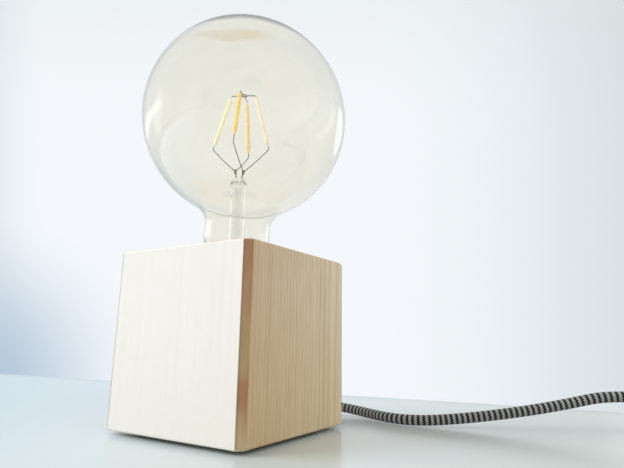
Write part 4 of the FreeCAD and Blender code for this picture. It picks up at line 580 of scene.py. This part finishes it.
# Thin clear glass that lets the lamps through.
def glassMaterial(name, tint, bands=False):
    n = Nodes(name)
    colour = tint
    if bands:
        place = n.place()
        away = n.tree.nodes.new("ShaderNodeVectorMath")
        away.operation = "SUBTRACT"
        n.put(away.inputs[0], place)
        away.inputs[1].default_value = glassPlace() @ Vector((0, 0, globeLevel()[0]))
        x, y, z = n.parts(n.scaled(away.outputs[0], *[1 / bulbSize["globe"]] * 3))
        # uneven colour of the coating, and a browner trace across the crown
        uneven = n.noise(place, 55, 2, 0.5)
        deeper = tuple(c * f for c, f in zip(tint, (0.985, 0.98, 0.965)))
        colour = n.mix(n.span(uneven, 0.3, 0.7), tint, deeper)
        ahead = n.math("ADD", n.math("MULTIPLY", x, -0.53), n.math("MULTIPLY", y, 0.848))
        aside = n.math("ADD", n.math("MULTIPLY", x, 0.848), n.math("MULTIPLY", y, 0.53))
        smear = n.noise(n.scaled(place, 40, 40, 40), 1, 3, 0.6)
        bow = n.math("MINIMUM", n.math("ADD", aside, 0.15), 0.0)
        bow = n.math("ADD", n.math("MULTIPLY", n.math("MULTIPLY", bow, bow), -2.04), -0.03)
        across = n.math("DIVIDE", n.math("ADD", aside, 0.16), 0.50)
        down = n.math("DIVIDE", n.math("SUBTRACT", ahead, bow), 0.15)
        spot = n.math("ADD", n.math("MULTIPLY", across, across), n.math("MULTIPLY", down, down))
        trace = n.math("MULTIPLY", n.span(spot, 1.0, 0.05), n.span(z, 0.5, 0.6))
        trace = n.math("MULTIPLY", trace, n.span(smear, 0.25, 0.6, 0.6, 1.0))
        colour = n.mix(n.math("MULTIPLY", trace, 0.60), colour, srgb(232, 212, 172))
        # painted shade: the glass is drawn grey where it is seen edge on, most of all round the top
        facing = n.add("LayerWeight", 1, Blend=0.5)
        rim = n.math("MULTIPLY", n.span(facing, 0.77, 0.90), n.span(z, 0.1, 0.8, 0.62, 1.0))
        colour = n.mix(rim, colour, (0.70, 0.70, 0.68))
    surface = n.tree.nodes.new("ShaderNodeBsdfPrincipled")
    n.put(surface.inputs["Base Color"], colour)
    surface.inputs["Roughness"].default_value = 0.0
    surface.inputs["IOR"].default_value = 1.5
    surface.inputs["Transmission Weight"].default_value = 1.0
    clear = n.add("BsdfTransparent", Color=(*tint, 1))
    ray = n.tree.nodes.new("ShaderNodeLightPath")
    through = n.math("MAXIMUM", ray.outputs["Is Shadow Ray"], ray.outputs["Is Diffuse Ray"])
    blend = n.tree.nodes.new("ShaderNodeMixShader")
    n.put(blend.inputs[0], through)
    n.put(blend.inputs[1], surface.outputs[0])
    n.put(blend.inputs[2], clear)
    n.tree.links.new(blend.outputs[0], n.output.inputs[0])
    return n.material


# Moulded plastic, metal or rubber with a fine grain and slight wear.
def plainMaterial(name, colour, rough, metal, grain, relief, spread, coat=0.0):
    n = Nodes(name)
    place = n.place()
    fine = n.noise(place, grain, 2, 0.6)
    broad = n.noise(place, 45, 3, 0.55)
    darker = tuple(c * (1 - spread) for c in colour)
    lighter = tuple(min(1, c * (1 + spread)) for c in colour)
    tone = n.mix(n.span(broad, 0.3, 0.7), darker, lighter)
    worn = n.math("ADD", n.math("MULTIPLY", broad, 0.6), n.math("MULTIPLY", fine, 0.4))
    roughness = n.span(worn, 0.3, 0.7, max(0.03, rough - 0.08), min(1, rough + 0.1))
    normal = n.bump(fine, 0.4, relief)
    n.surface(
        normal,
        Base_Color=tone,
        Roughness=roughness,
        Metallic=metal,
        Coat_Weight=coat,
    )
    return n.material


def feltMaterial():
    n = Nodes("felt")
    place = n.place()
    hair = n.noise(place, 1400, 3, 0.7)
    tuft = n.noise(place, 260, 2, 0.6)
    colour = n.mix(n.span(hair, 0.3, 0.7), srgb(28, 28, 31), srgb(62, 62, 66))
    height = n.math("ADD", hair, tuft)
    n.surface(n.bump(height, 0.9, 0.0004), Base_Color=colour, Roughness=0.95, Sheen_Weight=0.3)
    return n.material


# Yellow phosphor over a row of tiny chips, seen a little through, with painted light: a faint glow though the
# lamp is off.
def stripMaterial(name, bright, shade):
    n = Nodes(name)
    place = n.place()
    z = n.parts(place)[2]
    chips = n.math("SINE", n.math("MULTIPLY", z, 2 * math.pi / 0.0011))
    mottle = n.noise(n.scaled(place, 1, 1, 0.4), 900, 2, 0.5)
    colour = n.mix(n.span(mottle, 0.35, 0.65), bright, shade)
    colour = n.mix(n.math("MULTIPLY", n.span(chips, -1, 1), 0.18), colour, shade)
    n.surface(
        n.bump(chips, 0.3, 0.00006),
        Base_Color=colour,
        Roughness=0.42,
        Subsurface_Weight=0.25,
        Subsurface_Radius=(0.0006, 0.0005, 0.0002),
        Specular_IOR_Level=0.4,
        Emission_Color=colour,
        Emission_Strength=0.22,
    )
    return n.material


bulbSize = {
    "globe": 63.85 * mm,
    "wall": 1 * mm,
    "neck": 20 * mm,
    "neckLength": 9 * mm,
    "blend": 14 * mm,  # hollow round from neck to globe
    "foot": 12.4 * mm,
    "low": 96.405 * mm,
    "straight": 3 * mm,
    "shoulder": 9 * mm,
    "lean": math.radians(1.87),
    "heading": math.radians(31.9),
}


# Height of the globe's centre over the foot of the glass, and of the neck's top.
def globeLevel():
    neckTop = bulbSize["straight"] + bulbSize["shoulder"] + bulbSize["neckLength"]
    across = bulbSize["neck"] + bulbSize["blend"]
    reach = bulbSize["globe"] + bulbSize["blend"]
    return neckTop + math.sqrt(reach**2 - across**2), neckTop


# Outside of the glass from its foot to the top, then the inside back down.
def glassProfile():
    wall, neck, foot = bulbSize["wall"], bulbSize["neck"], bulbSize["foot"]
    start = bulbSize["straight"]
    rise = bulbSize["shoulder"]
    side = neck - foot
    bend = (side**2 + rise**2) / (4 * side)
    sweep = math.degrees(math.asin(rise / (2 * bend)))
    centre, neckTop = globeLevel()
    across = neck + bulbSize["blend"]
    lean = math.degrees(math.atan2(centre - neckTop, across))

    def oneSide(inset):
        profile = [(foot - inset, 0), (foot - inset, start)]
        profile += arcPoints((foot + bend, start), bend + inset, 180, 180 - sweep, 8)[1:]
        profile += arcPoints((neck - bend, start + rise), bend - inset, -sweep, 0, 8)[1:]
        profile += [(neck - inset, start + rise + bulbSize["neckLength"] * k / 5) for k in range(1, 6)]
        profile += arcPoints((across, neckTop), bulbSize["blend"] + inset, 180, 180 - lean, 18)[1:]
        profile += arcPoints((0, centre), bulbSize["globe"] - inset, -lean, 90, 110)[1:]
        return profile

    return oneSide(0) + list(reversed(oneSide(wall)))


# The glass leans a little on its cap.
def glassPlace():
    across = Vector((-math.sin(bulbSize["heading"]), math.cos(bulbSize["heading"]), 0))
    return Matrix.Translation((0, 0, bulbSize["low"])) @ Matrix.Rotation(bulbSize["lean"], 4, across)


stemSize = {
    "foot": 95 * mm,
    "height": 53.9 * mm,
    "radius": 5 * mm,
    "flare": 15 * mm,
    "spread": 11.2 * mm,
    "rim": 12.4 * mm,
    "crown": 3 * mm,  # rounding of the top
    "press": 2.6 * mm,  # solid glass at the top
    "bowl": 1.6 * mm,  # rounding under it
    "tube": 1.9 * mm,  # exhaust tube
    "tubeWall": 0.65 * mm,
    "tubeDrop": 4 * mm,  # how far it reaches below the stem's foot
}


# Thin drawn glass tube, clear in the middle, with painted shade: greyer along its edges.
def tubeMaterial():
    n = Nodes("drawnGlass")
    lines = n.noise(n.scaled(n.place(), 900, 900, 12), 1, 2, 0.5)
    edge = n.add("LayerWeight", 1, Blend=0.5)
    tone = n.mix(n.span(lines, 0.3, 0.7), srgb(104, 106, 104), srgb(128, 130, 128))
    cover = n.span(edge, 0.66, 0.97, 0.02, 0.7)
    n.surface(Base_Color=tone, Roughness=0.05, IOR=1.5, Alpha=cover)
    return n.material


# The stem's tube with its flare and pressed top, and the exhaust tube inside it.
def makeStem(clear):
    tube, spread, flare, wall = stemSize["radius"], stemSize["spread"], stemSize["flare"], bulbSize["wall"]
    foot = wall
    side = spread - tube
    bend = (side**2 + flare**2) / (2 * side)
    high = foot + flare
    sweep = math.degrees(math.asin(flare / bend))
    top, crown, press, bowl = (stemSize[key] for key in ("height", "crown", "press", "bowl"))
    inner = tube - wall
    profile = [(stemSize["rim"], 0), (stemSize["rim"], foot)]
    profile += arcPoints((tube + bend, high), bend, 180 + sweep, 180, 24)
    profile += [(tube, high + (top - crown - high) * k / 12) for k in range(1, 13)]
    profile += arcPoints((tube - crown, top - crown), crown, 0, 90, 12)[1:]
    profile += [(0, top - 0.35 * mm), (0, top - press + 0.3 * mm)]
    profile += arcPoints((inner - bowl, top - press - bowl), bowl, 90, 0, 8)
    profile += [(inner, high + (top - press - bowl - high) * (1 - k / 12)) for k in range(1, 13)]
    low = math.degrees(math.asin(high / (bend + wall)))
    profile += arcPoints((tube + bend, high), bend + wall, 180, 180 + low, 24)[1:]
    place = Matrix.Translation((0, 0, stemSize["foot"]))
    stem = lathe("glassStem", profile, 96, place=place)
    thin = stemSize["tubeWall"]
    outer = stemSize["tube"]
    head = top - press + 0.2 * mm
    tubeProfile = [(0, 0)]
    tubeProfile += [(outer * math.sin(a), bowl * (1 - math.cos(a))) for a in np.linspace(0.2, math.pi / 2, 8)]
    tubeProfile += [(outer, bowl + (head - bowl) * k / 12) for k in range(1, 13)]
    tubeProfile += [(outer - thin, bowl + (head - bowl) * (1 - k / 12)) for k in range(13)]
    tubeProfile += [(0, 2.2 * mm)]
    place = Matrix.Translation((0, 0, stemSize["foot"] - stemSize["tubeDrop"]))
    exhaust = lathe("exhaustTube", tubeProfile, 48, closed=False, place=place)
    for piece, node in ((stem, "glass_stem"), (exhaust, "exhaust_tube")):
        dress(piece, clear if piece is stem else tubeMaterial())
        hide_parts(node)
        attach(piece, "bulb")


def makeBulb(gold, clear, wire, strips):
    glass = lathe("bulbGlass", glassProfile(), segments=192, place=glassPlace())
    dress(glass, gold)
    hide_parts("bulb_glass")
    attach(glass, "bulb")
    makeStem(clear)
    makeLight(wire, strips)


cageSize = {
    "turn": -66.3,
    "rise": 16.1 * mm,
    "fall": 19.6 * mm,
    "knots": 4.5 * mm,
    "topRing": 7.8 * mm,
    "lowRing": 18.3 * mm,
    "firstLow": 15.5 * mm,  # the first strip stands steeper
    "hub": 1.7 * mm,
    "wire": 0.3 * mm,
    "hubWire": 0.42 * mm,
    "post": 0.4 * mm,
    "stripHalf": (1.2 * mm, 1.0 * mm),
    "tails": (5.5 * mm, 2.4 * mm, 2.4 * mm, 2.4 * mm),  # wire below each strip
    "lean": math.radians(4.8),
    "heading": math.radians(-41.6),
}
knotOutline = ((0.0, -1.2), (0.75, -1.2), (0.9, -0.9), (0.82, 0), (0.9, 0.9), (0.75, 1.2), (0.0, 1.2))  # mm


def roundAbout(reach, heading, height):
    angle = math.radians(heading)
    return Vector((reach * math.cos(angle), reach * math.sin(angle), height))


# A light strip: a flat-sided rod with soft corners, tapered into its two metal ends.
def roundedRod(name, first, last, width, depth, facing):
    way = (last - first).normalized()
    side = (facing - way * facing.dot(way)).normalized()
    up = way.cross(side)
    marks = [0.0, 0.012, 0.03, 0.045, 0.07, 0.1] + [0.1 + 0.8 * k / 20 for k in range(1, 20)]
    marks += [0.9, 0.93, 0.955, 0.97, 0.988, 1.0]
    points = []
    around = 20
    for mark in marks:
        edge = min(mark, 1 - mark)
        swell = min(1.0, max(0.0, (edge - 0.012) / 0.045)) ** 0.5
        half = (width * swell, depth * swell) if edge > 0.012 else (0.0, 0.0)
        a, b = max(half[0], width * 0.28), max(half[1], depth * 0.3)
        for c in range(around):
            angle = 2 * math.pi * c / around
            px = math.copysign(abs(math.cos(angle)) ** 0.7, math.cos(angle)) * a
            py = math.copysign(abs(math.sin(angle)) ** 0.7, math.sin(angle)) * b
            points.append(first + (last - first) * mark + side * px + up * py)
    faces = gridFaces(len(marks), around)
    faces.append(tuple(reversed(range(around))))
    faces.append(tuple(range((len(marks) - 1) * around, len(marks) * around)))
    item = meshFrom(name, points, faces)
    weld(item)
    return item


# Four light strips between the upper ring and the lower wires, leaning about the top of the stem.
def makeLight(wire, strips):
    turn = cageSize["turn"]
    stemTop = stemSize["foot"] + stemSize["height"]
    globe = bulbSize["low"] + globeLevel()[0]
    topLevel, lowLevel = globe + cageSize["rise"], globe - cageSize["fall"]
    knotLevel = stemTop + cageSize["knots"]
    topRing, thin, hubReach = cageSize["topRing"], cageSize["wire"], cageSize["hub"]
    pivot = Vector((0, 0, stemTop))
    across = Vector((-math.sin(cageSize["heading"]), math.cos(cageSize["heading"]), 0))
    lean = Matrix.Rotation(cageSize["lean"], 3, across)

    # A point of the cage.
    def around(reach, heading, level):
        return pivot + lean @ (roundAbout(reach, heading, level) - pivot)

    arms = []
    tops = []
    lows = []
    for k in range(4):
        heading = turn + 90 * k
        top = around(topRing, heading, topLevel)
        low = around(cageSize["lowRing"] if k else cageSize["firstLow"], heading, lowLevel)
        tops.append(top)
        lows.append(low)
        way = (low - top).normalized()
        inner = around(hubReach, heading, topLevel)
        elbow = around(topRing - 0.5 * mm, heading, topLevel + 0.05 * mm)
        bent = [inner, (inner + elbow) / 2, elbow, top + way * 0.4 * mm, top + way * 1.6 * mm]
        arms.append(tube(f"arm{k}", bent, thin, 10))
        ends = (top + way * 1.1 * mm, low - way * cageSize["tails"][k])
        strip = roundedRod(f"ledStrip{k + 1}", *ends, *cageSize["stripHalf"], roundAbout(1, heading + 90, 0))
        dress(strip, strips[k])
        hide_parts(f"led_filament_{k + 1}")
        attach(strip, "bulb")
    ring = [around(hubReach, a * 12, topLevel + (0.25 * mm if a % 2 else 0)) for a in range(31)]
    arms.append(tube("ringLoop", ring, cageSize["hubWire"], 10))
    hub = joinPieces("filamentHub", arms)
    dress(hub, wire)
    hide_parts("filament_hub")
    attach(hub, "bulb")
    sides = (
        ("leadWiresA", "lead_wires_a", turn + 115, (0, 1)),
        ("leadWiresB", "lead_wires_b", turn - 65, (2, 3)),
    )
    for name, node, heading, pair in sides:
        knot = around(2.5 * mm, heading, knotLevel)
        foot = roundAbout(1.5 * mm, heading, stemTop - 0.3 * mm)
        parts = [tube("post", [foot, foot.lerp(knot, 0.5), knot], cageSize["post"], 10)]
        sleeve = [(r * mm, h * mm) for r, h in knotOutline]
        parts.append(lathe("sleeve", sleeve, 20, closed=False, place=Matrix.Translation(knot)))
        for index in pair:
            low = lows[index]
            out = (low - knot).normalized()
            back = (tops[index] - low).normalized()
            path = [knot - out * 0.3 * mm]
            for share in (0.2, 0.4, 0.6, 0.8):
                path.append(knot.lerp(low, share) + Vector((0, 0, -0.5 * mm * math.sin(math.pi * share))))
            path += [low - out * 0.5 * mm, low + back * 0.25 * mm, low + back * (3 * mm if index else 6 * mm)]
            parts.append(tube(f"lead{index}", path, thin, 10))
        piece = joinPieces(name, parts)
        dress(piece, wire)
        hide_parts(node)
        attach(piece, "bulb")


tableColours = {"left": (192, 210, 219), "right": (218, 224, 220), "paintedWallShadow": (150, 165, 176)}


# The table, which ends before the wall behind.
def makeStage():
    back = [Vector((-2.6, -0.165, 0)), Vector((2.6, 0.579, 0))]
    points = [Vector((-2.6, -2.6, 0)), Vector((2.6, -2.6, 0)), back[1], back[0]]
    floor = meshFrom("floor", points, [(0, 1, 2, 3)], smooth=False)
    n = Nodes("table")
    tone = {name: srgb(*values) for name, values in tableColours.items()}
    place = n.place()
    x, y = n.parts(place)[:2]
    # distance to the table's far edge, along Y
    line = n.math("SUBTRACT", n.math("ADD", n.math("MULTIPLY", x, 0.1428), 0.2068), y)
    # painted shadow: the table is darker and bluer over the last 30 mm to its far edge, by the wall behind
    edge = n.span(line, 0.0, 0.030, 1.0, 0.0)
    # painted light and shade: the table is bluer and darker to the left, paler to the right
    paintedSideLight = n.span(x, -0.25, 0.25)
    colour = n.mix(paintedSideLight, tone["left"], tone["right"])
    colour = n.mix(n.math("MULTIPLY", edge, 0.25), colour, tone["paintedWallShadow"])
    grain = n.noise(place, 700, 2, 0.5)
    n.surface(n.bump(grain, 0.1, 0.00002), Base_Color=colour, Roughness=0.22, Specular_IOR_Level=0.5)
    dress(floor, n.material)


wallColours = {
    "bright": (244, 248, 252),
    "right": (207, 217, 220),
    "high": (213, 219, 219),
    "left": (204, 216, 222),
    "blue": (176, 197, 216),
    "plain": (222, 229, 232),
    "behind": (205, 208, 207),
    "strip": (90, 92, 94),
    "ambient": (238, 240, 240),
}
ambientStrength = 0.66


def makeWorld():
    tone = {name: srgb(*values) for name, values in wallColours.items()}
    world = bpy.data.worlds.new("surround")
    bpy.context.scene.world = world
    world.use_nodes = True
    n = Nodes.__new__(Nodes)
    n.tree = world.node_tree
    n.tree.nodes.clear()
    n.output = n.tree.nodes.new("ShaderNodeOutputWorld")
    way = n.add("TexCoord", "Generated")

    def towards(x, y, z):
        node = n.tree.nodes.new("ShaderNodeVectorMath")
        node.operation = "DOT_PRODUCT"
        n.put(node.inputs[0], way)
        node.inputs[1].default_value = Vector((x, y, z)).normalized()
        return node.outputs["Value"]

    # where a direction meets a wall square to the room's long side: aside and height, over the distance
    straight = towards(-0.519, 0.829, 0.210)
    ahead = n.math("MAXIMUM", straight, 0.03)
    aside = n.math("DIVIDE", towards(0.849, 0.528, 0.014), ahead)
    height = n.math("DIVIDE", towards(0.104, -0.183, 0.978), ahead)
    wall = n.mix(n.span(aside, 0.10, 0.90), tone["bright"], tone["right"])
    wall = n.mix(n.math("MULTIPLY", n.span(height, 0.20, 0.62), 0.34), wall, tone["high"])
    wall = n.mix(n.math("MULTIPLY", n.span(aside, -0.54, -0.68), 0.45), wall, tone["left"])
    # a bluer wall towards the lower left
    nearAside = n.math("MAXIMUM", n.math("ADD", aside, 0.67), 0.0)
    nearDown = n.math("MAXIMUM", n.math("ADD", height, 0.30), 0.0)
    near = n.math("SQRT", n.math("ADD", n.math("POWER", nearAside, 2), n.math("POWER", nearDown, 2)))
    wall = n.mix(n.math("MULTIPLY", n.span(near, 0.36, 0.0), 0.95), wall, tone["blue"])
    # the walls to the sides and behind are plain
    wall = n.mix(n.span(straight, 0.60, 0.25), wall, tone["plain"])
    # the room that only shows in reflections: a paler far side and two soft lights
    tall = n.add("SeparateXYZ", 2, Vector=way)
    behind = towards(0.519, -0.829, 0.10)
    room = n.mix(n.math("MULTIPLY", n.span(behind, -0.2, 0.8), 0.5), wall, tone["behind"])
    glow = n.math("MULTIPLY", n.span(towards(-0.98, -0.16, 0.0), 0.86, 0.95), n.span(tall, 0.16, 0.20))
    glow = n.math("MULTIPLY", glow, n.span(tall, 0.30, 0.26))
    room = n.mix(glow, room, (1.5, 1.54, 1.58))
    glow = n.span(towards(0.15, 0.95, 0.26), 0.976, 0.990)
    room = n.mix(glow, room, (1.4, 1.44, 1.48))
    ray = n.tree.nodes.new("ShaderNodeLightPath")
    mirrored = n.math("MAXIMUM", ray.outputs["Is Glossy Ray"], ray.outputs["Is Transmission Ray"])
    seen = n.math("MAXIMUM", ray.outputs["Is Camera Ray"], mirrored)
    # a dark strip high up on the wall, in mirror reflections only
    strip = n.math("MULTIPLY", n.span(height, 0.50, 0.72), n.span(height, 1.7, 1.2))
    strip = n.math("MULTIPLY", strip, n.span(aside, -0.50, -0.30))
    strip = n.math("MULTIPLY", strip, n.span(aside, 0.35, 0.05))
    strip = n.math("MULTIPLY", strip, ray.outputs["Is Glossy Ray"])
    room = n.mix(n.math("MULTIPLY", strip, 0.5), room, tone["strip"])
    backdrop = n.tree.nodes.new("ShaderNodeBackground")
    n.put(backdrop.inputs[0], n.mix(mirrored, wall, room))
    backdrop.inputs[1].default_value = 1.0
    ambient = n.tree.nodes.new("ShaderNodeBackground")
    n.put(ambient.inputs[0], tone["ambient"])
    ambient.inputs[1].default_value = ambientStrength
    blend = n.tree.nodes.new("ShaderNodeMixShader")
    n.put(blend.inputs[0], seen)
    n.put(blend.inputs[1], ambient.outputs[0])
    n.put(blend.inputs[2], backdrop.outputs[0])
    n.tree.links.new(blend.outputs[0], n.output.inputs[0])


def areaLight(name, spot, target, width, height, power, colour):
    data = bpy.data.lights.new(name, "AREA")
    data.shape = "RECTANGLE"
    data.size = width
    data.size_y = height
    data.energy = power
    data.color = colour
    lamp = bpy.data.objects.new(name, data)
    bpy.context.scene.collection.objects.link(lamp)
    lamp.location = spot
    lamp.visible_glossy = False
    lamp.visible_transmission = False
    lamp.rotation_mode = "QUATERNION"
    lamp.rotation_quaternion = (Vector(target) - Vector(spot)).to_track_quat("-Z", "Y")


lamps = {
    "window": {
        "spot": (-0.95, -0.75, 0.60),
        "target": (0, 0, 0.08),
        "width": 0.9,
        "height": 0.9,
        "power": 16.3,
        "colour": (0.90, 0.96, 1.0),
    },
    "fill": {
        "spot": (0.9, -0.5, 0.9),
        "target": (0, 0, 0.1),
        "width": 1.0,
        "height": 1.0,
        "power": 3.7,
        "colour": (1.0, 0.97, 0.92),
    },
}


def makeLights():
    for name, lamp in lamps.items():
        areaLight(name, **lamp)


def dressNodes():
    metal = plainMaterial("zincMetal", srgb(186, 188, 190), 0.32, 1.0, 700, 0.00002, 0.08)
    brass = plainMaterial("brassSheet", srgb(214, 178, 98), 0.28, 1.0, 500, 0.00002, 0.10)
    cap = plainMaterial("capMetal", srgb(206, 204, 198), 0.3, 1.0, 420, 0.00002, 0.08)
    black = plainMaterial("socketPlastic", srgb(28, 28, 30), 0.28, 0.0, 800, 0.00002, 0.15)
    case = plainMaterial("switchPlastic", srgb(30, 30, 32), 0.5, 0.0, 1600, 0.00006, 0.15)
    rubber = plainMaterial("rubber", srgb(24, 24, 25), 0.62, 0.0, 1200, 0.00005, 0.2)
    ceramic = plainMaterial("ceramic", srgb(232, 229, 221), 0.2, 0.0, 300, 0.00003, 0.03, coat=0.4)
    vitrite = plainMaterial("capGlass", srgb(26, 26, 30), 0.12, 0.0, 200, 0.00002, 0.2)
    painted = plainMaterial("platePaint", srgb(40, 40, 43), 0.45, 0.0, 900, 0.00005, 0.12)
    nylon = plainMaterial("nylon", srgb(222, 222, 214), 0.4, 0.0, 500, 0.00003, 0.05)
    brown = plainMaterial("coreBrown", srgb(112, 66, 38), 0.45, 0.0, 700, 0.00002, 0.1)
    blue = plainMaterial("coreBlue", srgb(52, 96, 170), 0.45, 0.0, 700, 0.00002, 0.1)
    board = plainMaterial("board", srgb(214, 212, 200), 0.4, 0.0, 300, 0.00002, 0.06)
    parts = plainMaterial("components", srgb(36, 36, 40), 0.35, 0.0, 300, 0.00002, 0.2)
    pins = plainMaterial("pinMetal", srgb(212, 208, 200), 0.18, 1.0, 400, 0.00001, 0.06)
    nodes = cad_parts
    finishes = {
        "base_plate": painted,
        "base_screws": metal,
        "felt_pad": feltMaterial(),
        "exit_bush": rubber,
        "cord_tie": nylon,
        "core_live": brown,
        "core_neutral": blue,
        "threaded_nipple": metal,
        "nipple_nut": metal,
        "nipple_washer": metal,
        "holder_dome": black,
        "grub_screw": metal,
        "contact_carrier": ceramic,
        "terminals": brass,
        "terminal_screws": metal,
        "contact_rivets": brass,
        "centre_contact": brass,
        "side_contact": brass,
        "screw_shell": brass,
        "holder_body": black,
        "cap_contact": metal,
        "cap_insulator": vitrite,
        "bulb_cap_shell": cap,
        "driver_board": board,
        "driver_parts": parts,
        "switch_base": case,
        "switch_cover": case,
        "switch_rocker": case,
        "switch_bridge": brass,
        "switch_contacts": brass,
        "switch_screws": metal,
        "switch_relief_in": rubber,
        "switch_relief_out": rubber,
        "switch_wires": brown,
        "plug_relief": rubber,
        "plug_body": case,
        "plug_pins": pins,
        "pin_sleeves": case,
    }
    for name, material in finishes.items():
        dress(nodes[name], material)


makeCamera()
print("stage: camera")
makeCords(braidMaterial())
print("stage: cords")
dressNodes()
for name in ("cord_inner", "switch_cord_ends", "plug_cord_end"):
    sheath = plainMaterial(name + "Sheath", srgb(40, 40, 44), 0.8, 0.0, 1500, 0.0001, 0.3)
    dress(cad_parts[name], sheath)
dress(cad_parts["wood_block"], pineMaterial())
print("stage: CAD pieces dressed")
gold = glassMaterial("goldGlass", (0.982, 0.960, 0.900), bands=True)
clear = glassMaterial("clearGlass", (0.99, 0.99, 0.985))
wire = plainMaterial("supportWire", srgb(150, 150, 148), 0.35, 1.0, 900, 0.00001, 0.1)
strips = [
    stripMaterial("stripAmber", srgb(255, 226, 140), srgb(250, 204, 104)),
    stripMaterial("stripRose", srgb(255, 244, 228), srgb(255, 228, 204)),
    stripMaterial("stripHoney", srgb(255, 236, 184), srgb(250, 212, 160)),
    stripMaterial("stripLemon", srgb(255, 252, 230), srgb(255, 244, 200)),
]
makeBulb(gold, clear, wire, strips)
print("stage: bulb")
makeStage()
makeWorld()
makeLights()
bpy.context.scene.view_settings.view_transform = "Standard"
print("stage: room")
